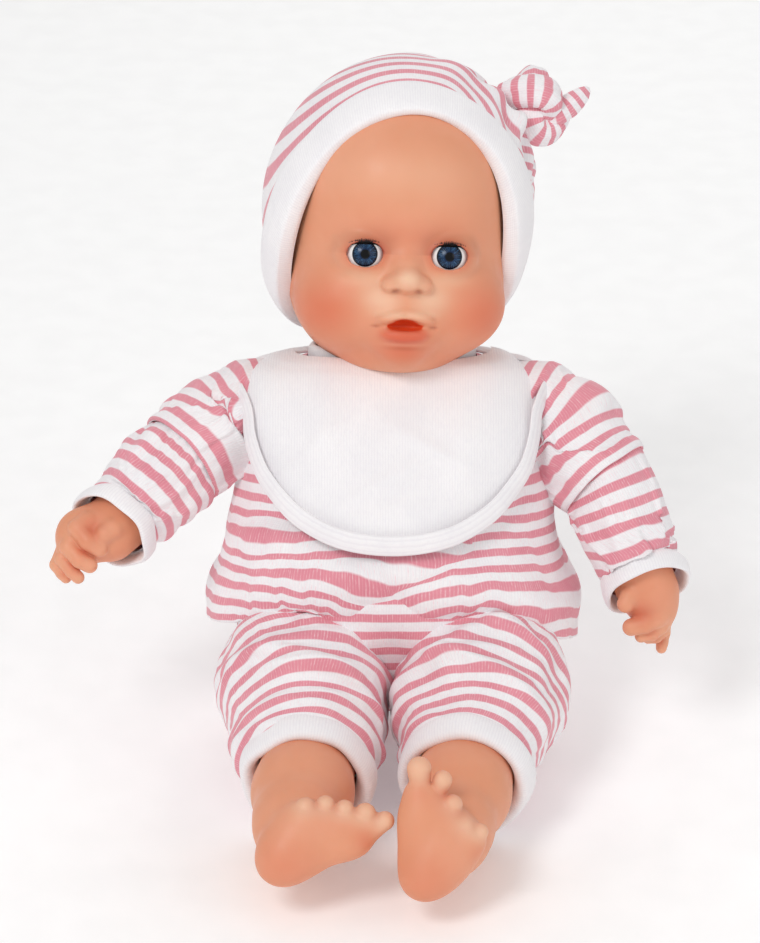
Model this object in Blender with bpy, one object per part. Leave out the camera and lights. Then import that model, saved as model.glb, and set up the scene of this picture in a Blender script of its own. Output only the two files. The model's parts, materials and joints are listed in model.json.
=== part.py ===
"""Soft-bodied baby doll, seated, as separate cloth, vinyl and electronic parts.

Frame: metres, +Z up, the doll faces -Y, its own left side is +X.
The origin is on the flat underside of the seat. The torso leans back about X.
Lengths in the tables below are centimetres.
"""
import math

import bmesh
import bpy
from mathutils import Matrix, Vector

CM = 0.01
SEAT_SHIFT = 3.2          # the flat of the seat is centred this far behind the torso's base point
LEAN = math.radians(15)   # torso leans back
CLOTH = 0.10              # cloth thickness in the solids
GAP = 0.035               # clearance between neighbouring solids

# torso: height along the leaning axis, half width, half depth, centre depth
BODY = [
    (-1.2, 3.2, 2.6, 1.6),
    (0.2, 4.5, 3.8, 1.1),
    (1.6, 5.2, 4.3, 0.8),
    (3.6, 5.4, 4.5, 0.4),
    (6.0, 5.3, 4.5, 0.1),
    (8.0, 5.1, 4.4, 0.0),
    (10.0, 4.9, 4.1, 0.0),
    (12.0, 4.8, 3.8, 0.1),
    (13.1, 4.3, 3.3, 0.2),
    (13.9, 3.2, 2.7, 0.3),
    (14.3, 2.1, 2.1, 0.3),
]
TOP = [
    (4.9, 6.9, 5.5, 0.1),
    (6.2, 6.4, 5.2, 0.1),
    (7.6, 5.8, 4.9, 0.0),
    (9.2, 5.35, 4.55, 0.0),
    (11.0, 5.3, 4.25, 0.05),
    (12.9, 5.2, 3.9, 0.15),
    (13.6, 4.5, 3.4, 0.25),
    (14.1, 3.6, 2.95, 0.3),
    (14.45, 2.95, 2.6, 0.3),
]
HEM_LIFT = 0.8            # the hem rises over the thighs at the front
SEAT_TOP = 5.9            # the trousers end this far up the torso, under the top
HIP = (3.4, -1.6, 3.3)
HIP_BALL = 2.9
LEG_CLEAR_Y = 1.4         # nothing of the seat lies in front of this and below the hip
KNEE = {1: (2.7, -6.0, 2.7), -1: (-2.95, -6.0, 2.7)}
ANKLE = {1: (1.62, -11.7, 2.35), -1: (-3.4, -11.3, 2.45)}
FOOT_TILT = math.radians(20)   # the toes are drawn back towards the knee
# foot: direction of the toes across the leg (x, z), and length
TOES = {1: (0.26, 0.97), -1: (0.82, 0.57)}
SHOULDER = {1: (5.6, 3.1, 11.9), -1: (-5.6, 3.1, 12.0)}
ELBOW = {1: (7.8, 1.5, 10.1), -1: (-7.7, 1.6, 10.9)}
WRIST = {1: (9.2, -0.5, 6.7), -1: (-10.1, -1.0, 9.3)}
HAND = {1: (10.0, -1.0, 4.1), -1: (-12.1, -2.5, 8.1)}
ARMHOLE_X = 5.55
NECK_S = 14.75            # height of the neck joint along the torso axis
HEAD_AT = (0.15, 0.1, 19.1)
HEAD_TURN = math.radians(5)
HEAD_NOD = math.radians(5)
HEAD_ROLL = math.radians(2.5)
SHELL = 0.3               # vinyl wall
EYE_AT = (1.48, -3.62, -0.78)
EYE_BALL = 0.95
MOUTH_AT = (0.0, -4.6, -3.2)
HAT_TILT = math.radians(50)
HAT_FRONT = -0.4          # brim edge over the forehead, along the pull-off direction
HAT_SIDE = -2.1          # brim edge at the jaw
HAT_BACK = 1.0            # brim edge at the nape
HAT_BAND = 1.35           # width of the white band
KNOT = [                  # centre and radius, head frame: the knot, then its tail
    ((4.03, 0.80, 3.88), 0.55),
    ((4.25, 0.82, 4.08), 1.0),
    ((4.70, 0.82, 4.48), 1.2),
    ((5.20, 0.80, 4.80), 1.0),
    ((5.60, 0.75, 4.95), 0.5),
    ((6.20, 0.70, 4.95), 0.45),
    ((6.75, 0.65, 5.05), 0.3),
    ((6.95, 0.62, 5.10), 0.1),
]
SIDE_NAME = {1: "left", -1: "right"}


def place(x, y, z):
    return Vector((x * CM, (y - SEAT_SHIFT) * CM, z * CM))


def frame_at(origin, z_axis, x_hint=(1, 0, 0)):
    """Frame in centimetres-space: local z along z_axis, local x near x_hint."""
    w = Vector(z_axis).normalized()
    u = Vector(x_hint)
    u = (u - w * u.dot(w)).normalized()
    v = w.cross(u)
    m = Matrix((u, v, w)).transposed().to_4x4()
    m.translation = Vector(origin)
    return m


TORSO = Matrix.Rotation(-LEAN, 4, "X")
HEAD = (
    TORSO
    @ Matrix.Translation(HEAD_AT)
    @ Matrix.Rotation(HEAD_TURN, 4, "Z")
    @ Matrix.Rotation(-HEAD_NOD, 4, "X")
    @ Matrix.Rotation(HEAD_ROLL, 4, "Y")
)
HAT = HEAD @ Matrix.Rotation(-HAT_TILT, 4, "X")


# ---------------------------------------------------------------- materials
def material(name, rgb, rough, metal=0.0):
    m = bpy.data.materials.new(name)
    m.use_nodes = True
    b = m.node_tree.nodes["Principled BSDF"]
    b.inputs["Base Color"].default_value = (*rgb, 1.0)
    b.inputs["Roughness"].default_value = rough
    b.inputs["Metallic"].default_value = metal
    return m


def build_materials():
    return {
        "vinyl": material("vinyl_skin", (0.74, 0.36, 0.22), 0.42),
        "stripe": material("striped_jersey", (0.80, 0.45, 0.50), 0.9),
        "white": material("white_jersey", (0.88, 0.86, 0.90), 0.9),
        "calico": material("body_cloth", (0.80, 0.72, 0.62), 0.9),
        "fibre": material("stuffing", (0.88, 0.87, 0.84), 1.0),
        "white_plastic": material("white_plastic", (0.82, 0.82, 0.80), 0.4),
        "black_plastic": material("black_plastic", (0.03, 0.03, 0.035), 0.4),
        "green_board": material("circuit_laminate", (0.03, 0.22, 0.09), 0.4),
        "steel": material("steel", (0.62, 0.62, 0.62), 0.3, 1.0),
        "iris": material("iris_blue", (0.02, 0.07, 0.14), 0.2),
        "sclera": material("eye_white", (0.85, 0.85, 0.84), 0.15),
        "lash": material("lash_black", (0.01, 0.01, 0.01), 0.6),
        "mouth": material("mouth_red", (0.30, 0.01, 0.005), 0.4),
        "lead": material("weight_metal", (0.3, 0.3, 0.32), 0.5, 1.0),
        "strap": material("nylon_strap", (0.75, 0.75, 0.73), 0.5),
    }


# ---------------------------------------------------------------- mesh helpers
def make(name, frame, verts, faces, mat):
    mesh = bpy.data.meshes.new(name)
    moved = [frame @ Vector(v) for v in verts]
    mesh.from_pydata([place(*p) for p in moved], [], faces)
    bm = bmesh.new()
    bm.from_mesh(mesh)
    bmesh.ops.recalc_face_normals(bm, faces=bm.faces)
    bm.to_mesh(mesh)
    bm.free()
    obj = bpy.data.objects.new(name, mesh)
    bpy.context.scene.collection.objects.link(obj)
    if mat:
        mesh.materials.append(mat)
    return obj


def oval(a, b, x=0.0, y=0.0, z=0.0, n=24, power=2.0):
    points = []
    for i in range(n):
        t = 2 * math.pi * i / n
        c, s = math.cos(t), math.sin(t)
        px = a * math.copysign(abs(c) ** (2 / power), c)
        py = b * math.copysign(abs(s) ** (2 / power), s)
        points.append((x + px, y + py, z))
    return points


def bridge(rings, closed):
    n = len(rings[0])
    faces = []
    rows = len(rings)
    last = rows if closed else rows - 1
    for r in range(last):
        a = r * n
        b = ((r + 1) % rows) * n
        for i in range(n):
            j = (i + 1) % n
            faces.append((a + i, a + j, b + j, b + i))
    return faces


def solid(name, frame, rings, mat):
    """A solid through the rings, with flat ends."""
    n = len(rings[0])
    verts = [p for ring in rings for p in ring]
    faces = bridge(rings, False)
    faces.append(tuple(reversed(range(n))))
    base = (len(rings) - 1) * n
    faces.append(tuple(base + i for i in range(n)))
    return make(name, frame, verts, faces, mat)


def sleeve(name, frame, rings, mat):
    """A body through rings that lead out and back again, open through its middle."""
    verts = [p for ring in rings for p in ring]
    return make(name, frame, verts, bridge(rings, True), mat)


def turned(name, frame, profile, mat, n=20, closed=False):
    """Turn (height, radius) points about local z. Radius 0 makes a pole."""
    verts = []
    faces = []
    rows = []
    for z, r in profile:
        if r <= 1e-6:
            rows.append([len(verts)])
            verts.append((0, 0, z))
        else:
            rows.append(list(range(len(verts), len(verts) + n)))
            verts.extend(oval(r, r, z=z, n=n))
    pairs = list(zip(rows, rows[1:]))
    if closed:
        pairs.append((rows[-1], rows[0]))
    for low, high in pairs:
        for i in range(n):
            j = (i + 1) % n
            if len(low) == 1 and len(high) == 1:
                continue
            if len(low) == 1:
                faces.append((low[0], high[j], high[i]))
            elif len(high) == 1:
                faces.append((low[i], low[j], high[0]))
            else:
                faces.append((low[i], low[j], high[j], high[i]))
    if not closed:
        for row in (rows[0], rows[-1]):
            if len(row) > 1:
                faces.append(tuple(row))
    return make(name, frame, verts, faces, mat)


def block(name, frame, low, high, mat):
    (a, b, c), (d, e, f) = low, high
    verts = [(x, y, z) for x in (a, d) for y in (b, e) for z in (c, f)]
    faces = [(0, 1, 3, 2), (4, 6, 7, 5), (0, 4, 5, 1), (2, 3, 7, 6), (0, 2, 6, 4), (1, 5, 7, 3)]
    return make(name, frame, verts, faces, mat)


def boolean(obj, tool, operation):
    tool.hide_render = True
    tool.display_type = "WIRE"
    tool.hide_viewport = False
    m = obj.modifiers.new(tool.name, "BOOLEAN")
    m.operation = operation
    m.solver = "EXACT"
    m.object = tool
    return obj


def cut(obj, *tools):
    for tool in tools:
        boolean(obj, tool, "DIFFERENCE")
    return obj


def fuse(obj, *tools):
    for tool in tools:
        boolean(obj, tool, "UNION")
    return obj


def ball_rows(radius, start, end, steps):
    """(height, radius) points of a sphere from one polar angle to another, 0 at -z."""
    rows = []
    for i in range(steps + 1):
        t = math.radians(start + (end - start) * i / steps)
        r = radius * math.sin(t)
        rows.append((-radius * math.cos(t), r if r > 1e-4 else 0.0))
    return rows


def offset_rows(rows, grow):
    return [(s, a + grow, b + grow, c) for s, a, b, c in rows]


def rings_of(rows, n=20, power=2.3):
    return [oval(a, b, y=c, z=s, n=n, power=power) for s, a, b, c in rows]


def row_at(table, s):
    for low, high in zip(table, table[1:]):
        if low[0] <= s <= high[0]:
            t = (s - low[0]) / (high[0] - low[0])
            return tuple(p + (q - p) * t for p, q in zip(low, high))
    return table[0] if s < table[0][0] else table[-1]


# ---------------------------------------------------------------- torso
def leg_room(prefix, extra, bottom):
    """Tools that clear the two thighs and level the underside."""
    tools = []
    for side in (1, -1):
        name = f"{prefix}_hip_{SIDE_NAME[side]}_tool"
        frame = Matrix.Translation((side * HIP[0], HIP[1], HIP[2]))
        rows = ball_rows(HIP_BALL + 0.12 + extra, 0, 180, 8)
        tools.append(turned(name, frame, rows, None, n=16))
        forward = frame @ frame_at((0, 0, 0), (-0.12 * side, -1, 0.03))
        name = f"{prefix}_thigh_{SIDE_NAME[side]}_tool"
        radius = HIP_BALL + 0.12 + extra
        tools.append(turned(name, forward, [(0, radius), (9, radius)], None, n=16))
    flat = Matrix.Identity(4)
    tools.append(
        block(
            f"{prefix}_sweep_tool", flat,
            (-9, -12, -6), (9, LEG_CLEAR_Y + extra, HIP[2] + extra), None,
        )
    )
    tools.append(block(f"{prefix}_floor_tool", flat, (-9.5, -13, -7), (9.5, 13, bottom), None))
    return tools


def build_torso(m):
    skin = solid("body_skin", TORSO, rings_of(BODY), m["calico"])
    cut(skin, *leg_room("skin", 0.17, 0.14))
    hollow_rows = offset_rows(BODY, -CLOTH)
    hollow_rows[-1] = (14.35, 2.0, 2.0, 0.3)
    hollow = solid("skin_hollow_tool", TORSO, rings_of(hollow_rows), None)
    cut(hollow, *leg_room("skin_hollow", 0.27, 0.24))
    cut(skin, hollow)
    cut(skin, pocket("skin_pocket_tool", 0.0))

    stuffing_rows = offset_rows(BODY, -CLOTH - GAP)
    stuffing_rows[-1] = (13.75, 2.9, 2.4, 0.3)
    stuffing_rows.pop(-2)
    stuffing = solid("body_stuffing", TORSO, rings_of(stuffing_rows), m["fibre"])
    cut(stuffing, *leg_room("stuffing", 0.31, 0.28))
    cut(stuffing, pocket("stuffing_pocket_tool", 0.0))
    front = TORSO @ frame_at((0, BUTTON_SINK, BUTTON_S), (0, -1, 0))
    cut(stuffing, turned("button_pocket_tool", front, [(2.6, 1.66), (5.2, 1.66)], None, n=20))
    cut(stuffing, turned("cable_channel_tool", front, [(-1.4, 0.18), (2.8, 0.18)], None, n=10))

    trousers_rows = [r for r in offset_rows(BODY, GAP + CLOTH) if r[0] < SEAT_TOP]
    top = row_at(BODY, SEAT_TOP)
    trousers_rows.append((SEAT_TOP, top[1] + GAP + CLOTH, top[2] + GAP + CLOTH, top[3]))
    seat = solid("trouser_seat", TORSO, rings_of(trousers_rows), m["stripe"])
    cut(seat, *leg_room("seat", 0.0, 0.0))
    inner_rows = [(s, a - CLOTH, b - CLOTH, c) for s, a, b, c in trousers_rows]
    inner_rows[-1] = (SEAT_TOP + 0.2, *inner_rows[-1][1:])
    inside = solid("seat_hollow_tool", TORSO, rings_of(inner_rows), None)
    cut(inside, *leg_room("seat_hollow", 0.11, 0.10))
    cut(seat, inside)


MODULE_Y = -0.4           # the sound module sits this far forward of its nominal depth
BUTTON_S = 8.6
BUTTON_SINK = 0.42        # moves the whole push button inwards from its nominal depth


def pocket(name, grow):
    low = (-2.45 - grow, 0.9 + MODULE_Y - grow, 5.9 - grow)
    return block(name, TORSO, low, (2.45 + grow, 6.0, 11.1 + grow), None)


def build_top(m):
    outer = rings_of(TOP)
    inner = rings_of([(s, a - CLOTH, b - CLOTH, c) for s, a, b, c in TOP])
    for rings in (outer, inner):
        rings[0] = [(x, y, z + HEM_LIFT * max(-y / 5.5, 0.0) ** 1.5) for x, y, z in rings[0]]
    sleeve("pyjama_top", TORSO, outer + inner[::-1], m["stripe"])
    rows = [(14.0, 0.17), (14.40, 0.16), (14.60, -0.08), (14.60, -0.26), (14.5, -0.26), (14.5, 0.04), (14.4, 0.05)]
    ring_rows = []
    for s, grow in rows:
        base = row_at(TOP, min(s, 14.45))
        ring_rows.append(oval(base[1] + grow, base[2] + grow, y=0.3, z=s, n=20, power=2.3))
    low = row_at(TOP, 14.0)
    ring_rows.append(oval(low[1] + 0.05, low[2] + 0.05, y=0.3, z=14.0, n=20, power=2.3))
    sleeve("collar_ribbing", TORSO, ring_rows, m["white"])


BIB_LOW = 7.9
BIB_HALF = 4.85
BIB_TOP = 13.8
BIB_LIFT = 0.24


def bib_line(s, x, lift):
    """Point on the chest surface: height s, sideways x, lifted outwards."""
    row = row_at(TOP, s)
    a, b, c = row[1] + lift, row[2] + lift, row[3]
    t = min(abs(x) / a, 0.999)
    y = c - b * (1 - t ** 2.3) ** (1 / 2.3)
    return (x, y, s)


def bib_half_width(s):
    """Half width of the bib from its round lower edge up to the shoulders."""
    low = BIB_LOW
    if s <= low:
        return 0.02
    t = min((s - low) / 4.2, 1.0)
    half = BIB_HALF * math.sqrt(max(1 - (1 - t) ** 2, 0.0)) ** 0.85
    return min(half, 0.93 * row_at(TOP, s)[1])


def bib_edge(inset):
    """Left half of the bib's outline from the shoulder down to the middle, moved inwards."""
    steps = 12
    path = []
    for k in range(steps + 1):
        s = BIB_TOP - (BIB_TOP - BIB_LOW) * (k / steps) ** 0.75
        path.append((s, -bib_half_width(s)))
    path[-1] = (BIB_LOW, 0.0)
    moved = []
    for i, (s, x) in enumerate(path):
        before = path[max(i - 1, 0)]
        after = path[min(i + 1, steps)]
        ds, dx = after[0] - before[0], after[1] - before[1]
        if i == steps:
            ds, dx = 0.0, 1.0
        if i == 0:
            ds, dx = -1.0, 0.0
        length = math.hypot(ds, dx)
        moved.append((s + dx / length * inset, x - ds / length * inset))
    return moved


def build_bib(m):
    # binding: a flat tube that follows the bib's edge
    outer, inner = bib_edge(0.0), bib_edge(0.34)
    outer += [(s, -x) for s, x in outer[-2::-1]]
    inner += [(s, -x) for s, x in inner[-2::-1]]
    rings = []
    for o, i in zip(outer, inner):
        rings.append(
            [
                bib_line(*o, BIB_LIFT),
                bib_line(*o, BIB_LIFT + 0.16),
                bib_line(*i, BIB_LIFT + 0.16),
                bib_line(*i, BIB_LIFT),
            ]
        )
    solid("bib_binding", TORSO, rings, m["white"])
    # panel: rows between the two sides of the binding
    edge = bib_edge(0.34 + GAP)
    cols = 8
    low, high = BIB_LIFT + 0.04, BIB_LIFT + 0.12
    rows = [(s, abs(x)) for s, x in edge[:-1] if abs(x) > 0.3]
    front, back = [], []
    for s, half in rows:
        for i in range(cols + 1):
            x = half * (2 * i / cols - 1)
            front.append(bib_line(s, x, high))
            back.append(bib_line(s, x, low))
    faces = []
    w, h = cols + 1, len(front)
    for k in range(len(rows) - 1):
        for i in range(cols):
            a = k * w + i
            faces.append((a, a + 1, a + 1 + w, a + w))
            faces.append((h + a, h + a + w, h + a + 1 + w, h + a + 1))
    rim = list(range(w))
    rim += [k * w + cols for k in range(1, len(rows))]
    rim += [(len(rows) - 1) * w + i for i in range(cols - 1, -1, -1)]
    rim += [k * w for k in range(len(rows) - 2, 0, -1)]
    for a, b in zip(rim, rim[1:] + rim[:1]):
        faces.append((a, h + a, h + b, b))
    make("bib_panel", TORSO, front + back, faces, m["white"])


# ---------------------------------------------------------------- sound module
def build_module(m):
    t = TORSO @ Matrix.Translation((0, MODULE_Y, 0))
    front = block("module_front_case", t, (-2.35, 1.0, 6.0), (2.35, 2.2, 11.0), m["white_plastic"])
    cut(front, block("front_case_tool", t, (-2.2, 1.15, 6.15), (2.2, 2.4, 10.85), None))
    speaker_frame = t @ frame_at((0, 0, 9.6), (0, -1, 0))
    for i in range(3):
        slot = block(f"grille_{i}_tool", t, (-0.8, 0.8, 9.0 + 0.5 * i), (0.8, 1.3, 9.2 + 0.5 * i), None)
        cut(front, slot)
    turned("speaker", speaker_frame, [(-1.75, 0.55), (-1.75, 0.7), (-1.45, 0.7), (-1.2, 0.98), (-1.2, 0.6)],
           m["black_plastic"], n=20)
    board = block("circuit_board", t, (-2.1, 1.9, 6.25), (2.1, 2.05, 10.75), m["green_board"])
    del board
    rear = block("module_rear_case", t, (-2.35, 2.25, 6.0), (2.35, 3.95, 11.0), m["white_plastic"])
    cut(rear, block("board_room_tool", t, (-2.2, 2.0, 6.15), (2.2, 2.5, 10.85), None))
    cut(rear, block("battery_bay_tool", t, (-2.0, 2.75, 6.4), (2.0, 4.4, 8.9), None))
    cut(rear, block("slider_slot_tool", t, (-0.65, 3.0, 9.6), (0.65, 4.2, 10.2), None))
    for i in range(3):
        cell = t @ frame_at((-1.28 + 1.28 * i, 0, 7.65), (0, 1, 0))
        turned(f"battery_cell_{i + 1}", cell, [(2.8, 0.48), (2.85, 0.58), (3.2, 0.58), (3.25, 0.5), (3.34, 0.5)],
               m["steel"], n=18)
    door = block("battery_door", t, (-1.96, 3.62, 6.44), (1.96, 3.88, 8.86), m["white_plastic"])
    hole = t @ frame_at((0, 0, 6.75), (0, 1, 0))
    cut(door, turned("door_hole_tool", hole, [(3.5, 0.12), (3.72, 0.12), (3.72, 0.24), (4.0, 0.24)], None, n=14))
    turned("battery_door_screw", hole, [(3.0, 0.08), (3.745, 0.08), (3.745, 0.2), (3.86, 0.2)], m["steel"], n=14)
    slider = block("power_slider", t, (-0.6, 3.05, 9.64), (0.0, 3.9, 10.16), m["black_plastic"])
    fuse(slider, block("slider_nub_tool", t, (-0.42, 3.8, 9.72), (-0.18, 4.0, 10.08), None))

    # push disc behind the tummy cloth, its housing and the wire to the module
    f = TORSO @ frame_at((0, BUTTON_SINK, BUTTON_S), (0, -1, 0))
    turned("button_housing", f,
           [(2.7, 1.6), (4.0, 1.6), (4.0, 1.35), (2.95, 1.35), (2.95, 0.5), (2.95, 0.3), (2.7, 0.3)],
           m["white_plastic"], n=24, closed=True)
    turned("tummy_button", f, [(3.55, 0.35), (3.55, 1.3), (3.9, 1.3), (4.0, 1.05), (4.0, 0.0)],
           m["black_plastic"], n=24)
    turned("sensor_cable", f, [(-0.10, 0.1), (2.66, 0.1)], m["black_plastic"], n=8)
    coil(f, m)


def coil(frame, m):
    """Return spring between the housing floor and the push disc."""
    turns, steps, sides = 3, 12, 5
    radius, wire = 0.7, 0.045
    low, high = 3.03, 3.47
    rings = []
    total = turns * steps
    for i in range(total + 1):
        a = 2 * math.pi * i / steps
        c = Vector((radius * math.cos(a), radius * math.sin(a), low + (high - low) * i / total))
        out = Vector((math.cos(a), math.sin(a), 0))
        ring = []
        for k in range(sides):
            b = 2 * math.pi * k / sides
            ring.append(tuple(c + out * wire * math.cos(b) + Vector((0, 0, wire * math.sin(b)))))
        rings.append(ring)
    solid("button_spring", frame, rings, m["steel"])


# ---------------------------------------------------------------- head
def bump(direction, centre, width, height):
    d = Vector(centre).normalized()
    angle = direction.angle(d)
    return height * math.exp(-(angle / width) ** 2)


def head_radius(d):
    """Outer radius of the head in direction d, head frame, centimetres."""
    up = d.z
    a, b, c = 4.45, 4.75, (6.0 if up > 0 else 5.4)
    r = 1 / math.sqrt((d.x / a) ** 2 + (d.y / b) ** 2 + (d.z / c) ** 2)
    if up < 0:
        r -= 0.5 * max(0.0, d.y) * min(1.0, -up * 2)
    for side in (1, -1):
        r += bump(d, (side * 2.5, -3.4, -2.6), 0.42, 0.42)
        r += bump(d, (side * EYE_AT[0], EYE_AT[1] - 1, EYE_AT[2]), 0.22, -0.16)
    r += bump(d, (0, -4.2, -5.0), 0.32, 0.4)
    r += bump(d, (0, -4.6, -1.75), 0.16, 0.55)
    r += bump(d, (0, -4.4, -3.05), 0.24, 0.42)
    # the underside is level over the neck and falls towards the chin
    down = -d.z + 0.28 * d.y
    if down > 0.3:
        r = 1 / ((1 / r) ** 8 + (down / 4.4) ** 8) ** 0.125
    return r


def build_head(m):
    verts, faces = [], []
    for shell, n, rows in ((0.0, 28, 18), (SHELL, 14, 9)):
        base = len(verts)
        verts.append((0, 0, -head_radius(Vector((0, 0, -1))) + shell))
        for k in range(1, rows):
            p = math.pi * k / rows
            for i in range(n):
                a = 2 * math.pi * i / n
                d = Vector((math.sin(p) * math.sin(a), -math.sin(p) * math.cos(a), -math.cos(p)))
                verts.append(tuple(d * (head_radius(d) - shell)))
        verts.append((0, 0, head_radius(Vector((0, 0, 1))) - shell))
        body = []
        for i in range(n):
            j = (i + 1) % n
            body.append((base, base + 1 + j, base + 1 + i))
            for k in range(rows - 2):
                a, b = base + 1 + k * n, base + 1 + (k + 1) * n
                body.append((a + i, a + j, b + j, b + i))
            top = base + 1 + (rows - 2) * n
            body.append((top + i, top + j, top + n))
        if shell:
            body = [tuple(reversed(face)) for face in body]
        faces.extend(body)
    mesh = bpy.data.meshes.new("head_shell")
    mesh.from_pydata([place(*(HEAD @ Vector(v))) for v in verts], [], faces)
    head = bpy.data.objects.new("head_shell", mesh)
    bpy.context.scene.collection.objects.link(head)
    mesh.materials.append(m["vinyl"])

    neck = TORSO @ Matrix.Translation((0, 0.5, 0))
    cut(head, turned("neck_hole_tool", neck, [(13.0, 1.72), (17.2, 1.72)], None, n=24))
    cut(head, turned("mouth_hole_tool", HEAD @ frame_at(MOUTH_AT, (0, -1, -0.35)),
                     [(-1.6, 0.42), (2.0, 0.42)], None, n=16))
    for side in (1, -1):
        name = SIDE_NAME[side]
        at = HEAD @ Matrix.Translation((side * EYE_AT[0], EYE_AT[1], EYE_AT[2]))
        cut(head, turned(f"eye_room_{name}_tool", at, ball_rows(EYE_BALL + 0.08, 0, 180, 14), None, n=24))
        window = solid(
            f"eye_window_{name}_tool", at @ frame_at((0, 0, 0), (0, -1, 0)),
            [oval(0.78, 0.60, z=z, n=20) for z in (0.4, 2.4)], None,
        )
        cut(head, window)
        build_eye(m, at, name)

    # dark cup behind the lips
    cup = HEAD @ frame_at(MOUTH_AT, (0, -1, -0.35))
    turned("mouth_liner", cup,
           [(-1.3, 0.0), (-1.3, 0.3), (-1.1, 0.38), (MOUTH_RIM, 0.38), (MOUTH_RIM, 0.28), (-1.05, 0.28), (-1.15, 0.0)],
           m["mouth"], n=16)

    # neck ring: flange under the head, barrel through it, retaining flange inside it
    turned("neck_ring", neck,
           [(13.86, 1.2), (13.86, 1.75), (14.1, 1.75), (14.1, 1.45), (14.5, 1.45), (14.62, 1.6), (16.4, 1.6),
            (16.55, 2.05), (16.75, 2.05), (16.75, 1.2)],
           m["white_plastic"], n=24, closed=True)
    turned("neck_cable_tie", neck, [(14.14, 1.49), (14.14, 1.64), (14.44, 1.64), (14.44, 1.49)],
           m["strap"], n=24, closed=True)


MOUTH_RIM = 0.0


def build_eye(m, at, name):
    """Ball with an iris disc let into it, a lash strip above and a weight behind."""
    facing = at @ frame_at((0, 0, 0), (0, -1, 0))
    iris_r, depth = 0.50, 0.70
    edge = math.degrees(math.acos(iris_r / EYE_BALL))
    profile = ball_rows(EYE_BALL, 0, 90 + edge, 11)
    profile += [(depth, iris_r), (depth, 0.0)]
    ball = turned(f"eyeball_{name}", facing, profile, m["sclera"], n=24)
    del ball
    turned(f"iris_{name}", facing,
           [(depth + 0.03, 0.0), (depth + 0.03, iris_r - 0.03), (0.81, iris_r - 0.03), (0.9, 0.3), (0.93, 0.0)],
           m["iris"], n=20)
    verts, faces = [], []
    cols = 10
    for r, lift in ((EYE_BALL + 0.03, 0.0), (EYE_BALL + 0.22, 0.06)):
        for thick in (0.0, 0.035):
            for i in range(cols + 1):
                x = -0.4 + 0.8 * i / cols
                up = 0.43 * math.sqrt(1 - (x / 0.66) ** 2) + lift + thick - 0.03
                y = -math.sqrt(max(r * r - x * x - up * up, 0.01))
                verts.append((x, y, up))
    w = cols + 1
    for i in range(cols):
        faces.append((i, i + 1, w + i + 1, w + i))
        faces.append((2 * w + i, 3 * w + i, 3 * w + i + 1, 2 * w + i + 1))
        faces.append((i, 2 * w + i, 2 * w + i + 1, i + 1))
        faces.append((w + i, w + i + 1, 3 * w + i + 1, 3 * w + i))
    faces.append((0, w, 3 * w, 2 * w))
    faces.append((cols, 2 * w + cols, 3 * w + cols, w + cols))
    make(f"eyelash_{name}", at, verts, faces, m["lash"])
    weight = at @ frame_at((0, 0, 0), (0, 0.72, -0.70))
    turned(f"eye_weight_{name}", weight, [(0.99, 0.25), (1.5, 0.3), (1.9, 0.22)], m["lead"], n=12)
    turned(f"eye_socket_{name}", at @ frame_at((0, 0, 0), (0, 1, 0)),
           [(0.35, 0.96), (0.35, 1.04), (0.6, 1.04), (0.6, 0.96)],
           m["white_plastic"], n=20, closed=True)


# ---------------------------------------------------------------- hat
def hat_half(t, grow):
    """Half width and half depth of the hat at height t along the pull-off direction."""
    k = math.sqrt(max(1 - (max(t, 0.0) / 6.15) ** 2, 0.0))
    return (4.88 + grow) * k, (5.9 + grow) * k


def hat_edge(angle):
    """Height of the brim's edge: high over the forehead and the nape, low at the jaw."""
    front = -math.sin(angle)
    end = HAT_FRONT if front > 0 else HAT_BACK
    return HAT_SIDE + (end - HAT_SIDE) * front * front


def hat_ring(height, grow, n=24):
    """One ring of the hat; height maps an angle to a height along the pull-off direction."""
    ring = []
    for i in range(n):
        angle = 2 * math.pi * i / n
        t = height(angle)
        a, b = hat_half(t, grow)
        ring.append((a * math.cos(angle), b * math.sin(angle), t))
    return ring


def build_hat(m):
    n = 24
    outer, inner = [], []
    for k in range(8):
        f = (k / 7) ** 1.15
        outer.append(hat_ring(lambda g: (hat_edge(g) + HAT_BAND) * (1 - f) + 5.65 * f, 0.22))
        inner.append(hat_ring(lambda g: (hat_edge(g) + HAT_BAND) * (1 - f) + 5.52 * f, 0.08))
    verts = [p for ring in outer + inner for p in ring]
    faces = bridge(outer, False)
    base = len(outer) * n
    faces += [tuple(base + v for v in face) for face in bridge(inner, False)]
    for i in range(n):
        j = (i + 1) % n
        faces.append((i, j, base + j, base + i))
    faces.append(tuple(7 * n + i for i in range(n)))
    faces.append(tuple(base + 7 * n + i for i in range(n)))
    make("hat_crown", HAT, verts, faces, m["stripe"])
    rings = []
    for lift, grow in ((0.0, -0.3), (0.0, -0.08), (0.65, 0.2), (HAT_BAND - 0.04, 0.3), (HAT_BAND - 0.04, -0.02)):
        rings.append(hat_ring(lambda g: hat_edge(g) + lift, grow))
    sleeve("hat_brim", HAT, rings, m["white"])
    # knot with its tail, seated on the crown
    stations = []
    for k, (centre, r) in enumerate(KNOT):
        before = Vector(KNOT[max(k - 1, 0)][0])
        after = Vector(KNOT[min(k + 1, len(KNOT) - 1)][0])
        stations.append((Vector(centre), after - before, r))
    solid("hat_knot", HEAD, path_rings(stations, 12), m["stripe"])


# ---------------------------------------------------------------- arms
def path_rings(stations, n):
    """Round rings at (centre, direction, radius)."""
    rings = []
    for centre, direction, r in stations:
        f = frame_at(centre, direction, (0, 0.5, 1))
        rings.append([tuple(f @ Vector(q)) for q in oval(r, r, n=n)])
    return rings


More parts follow.
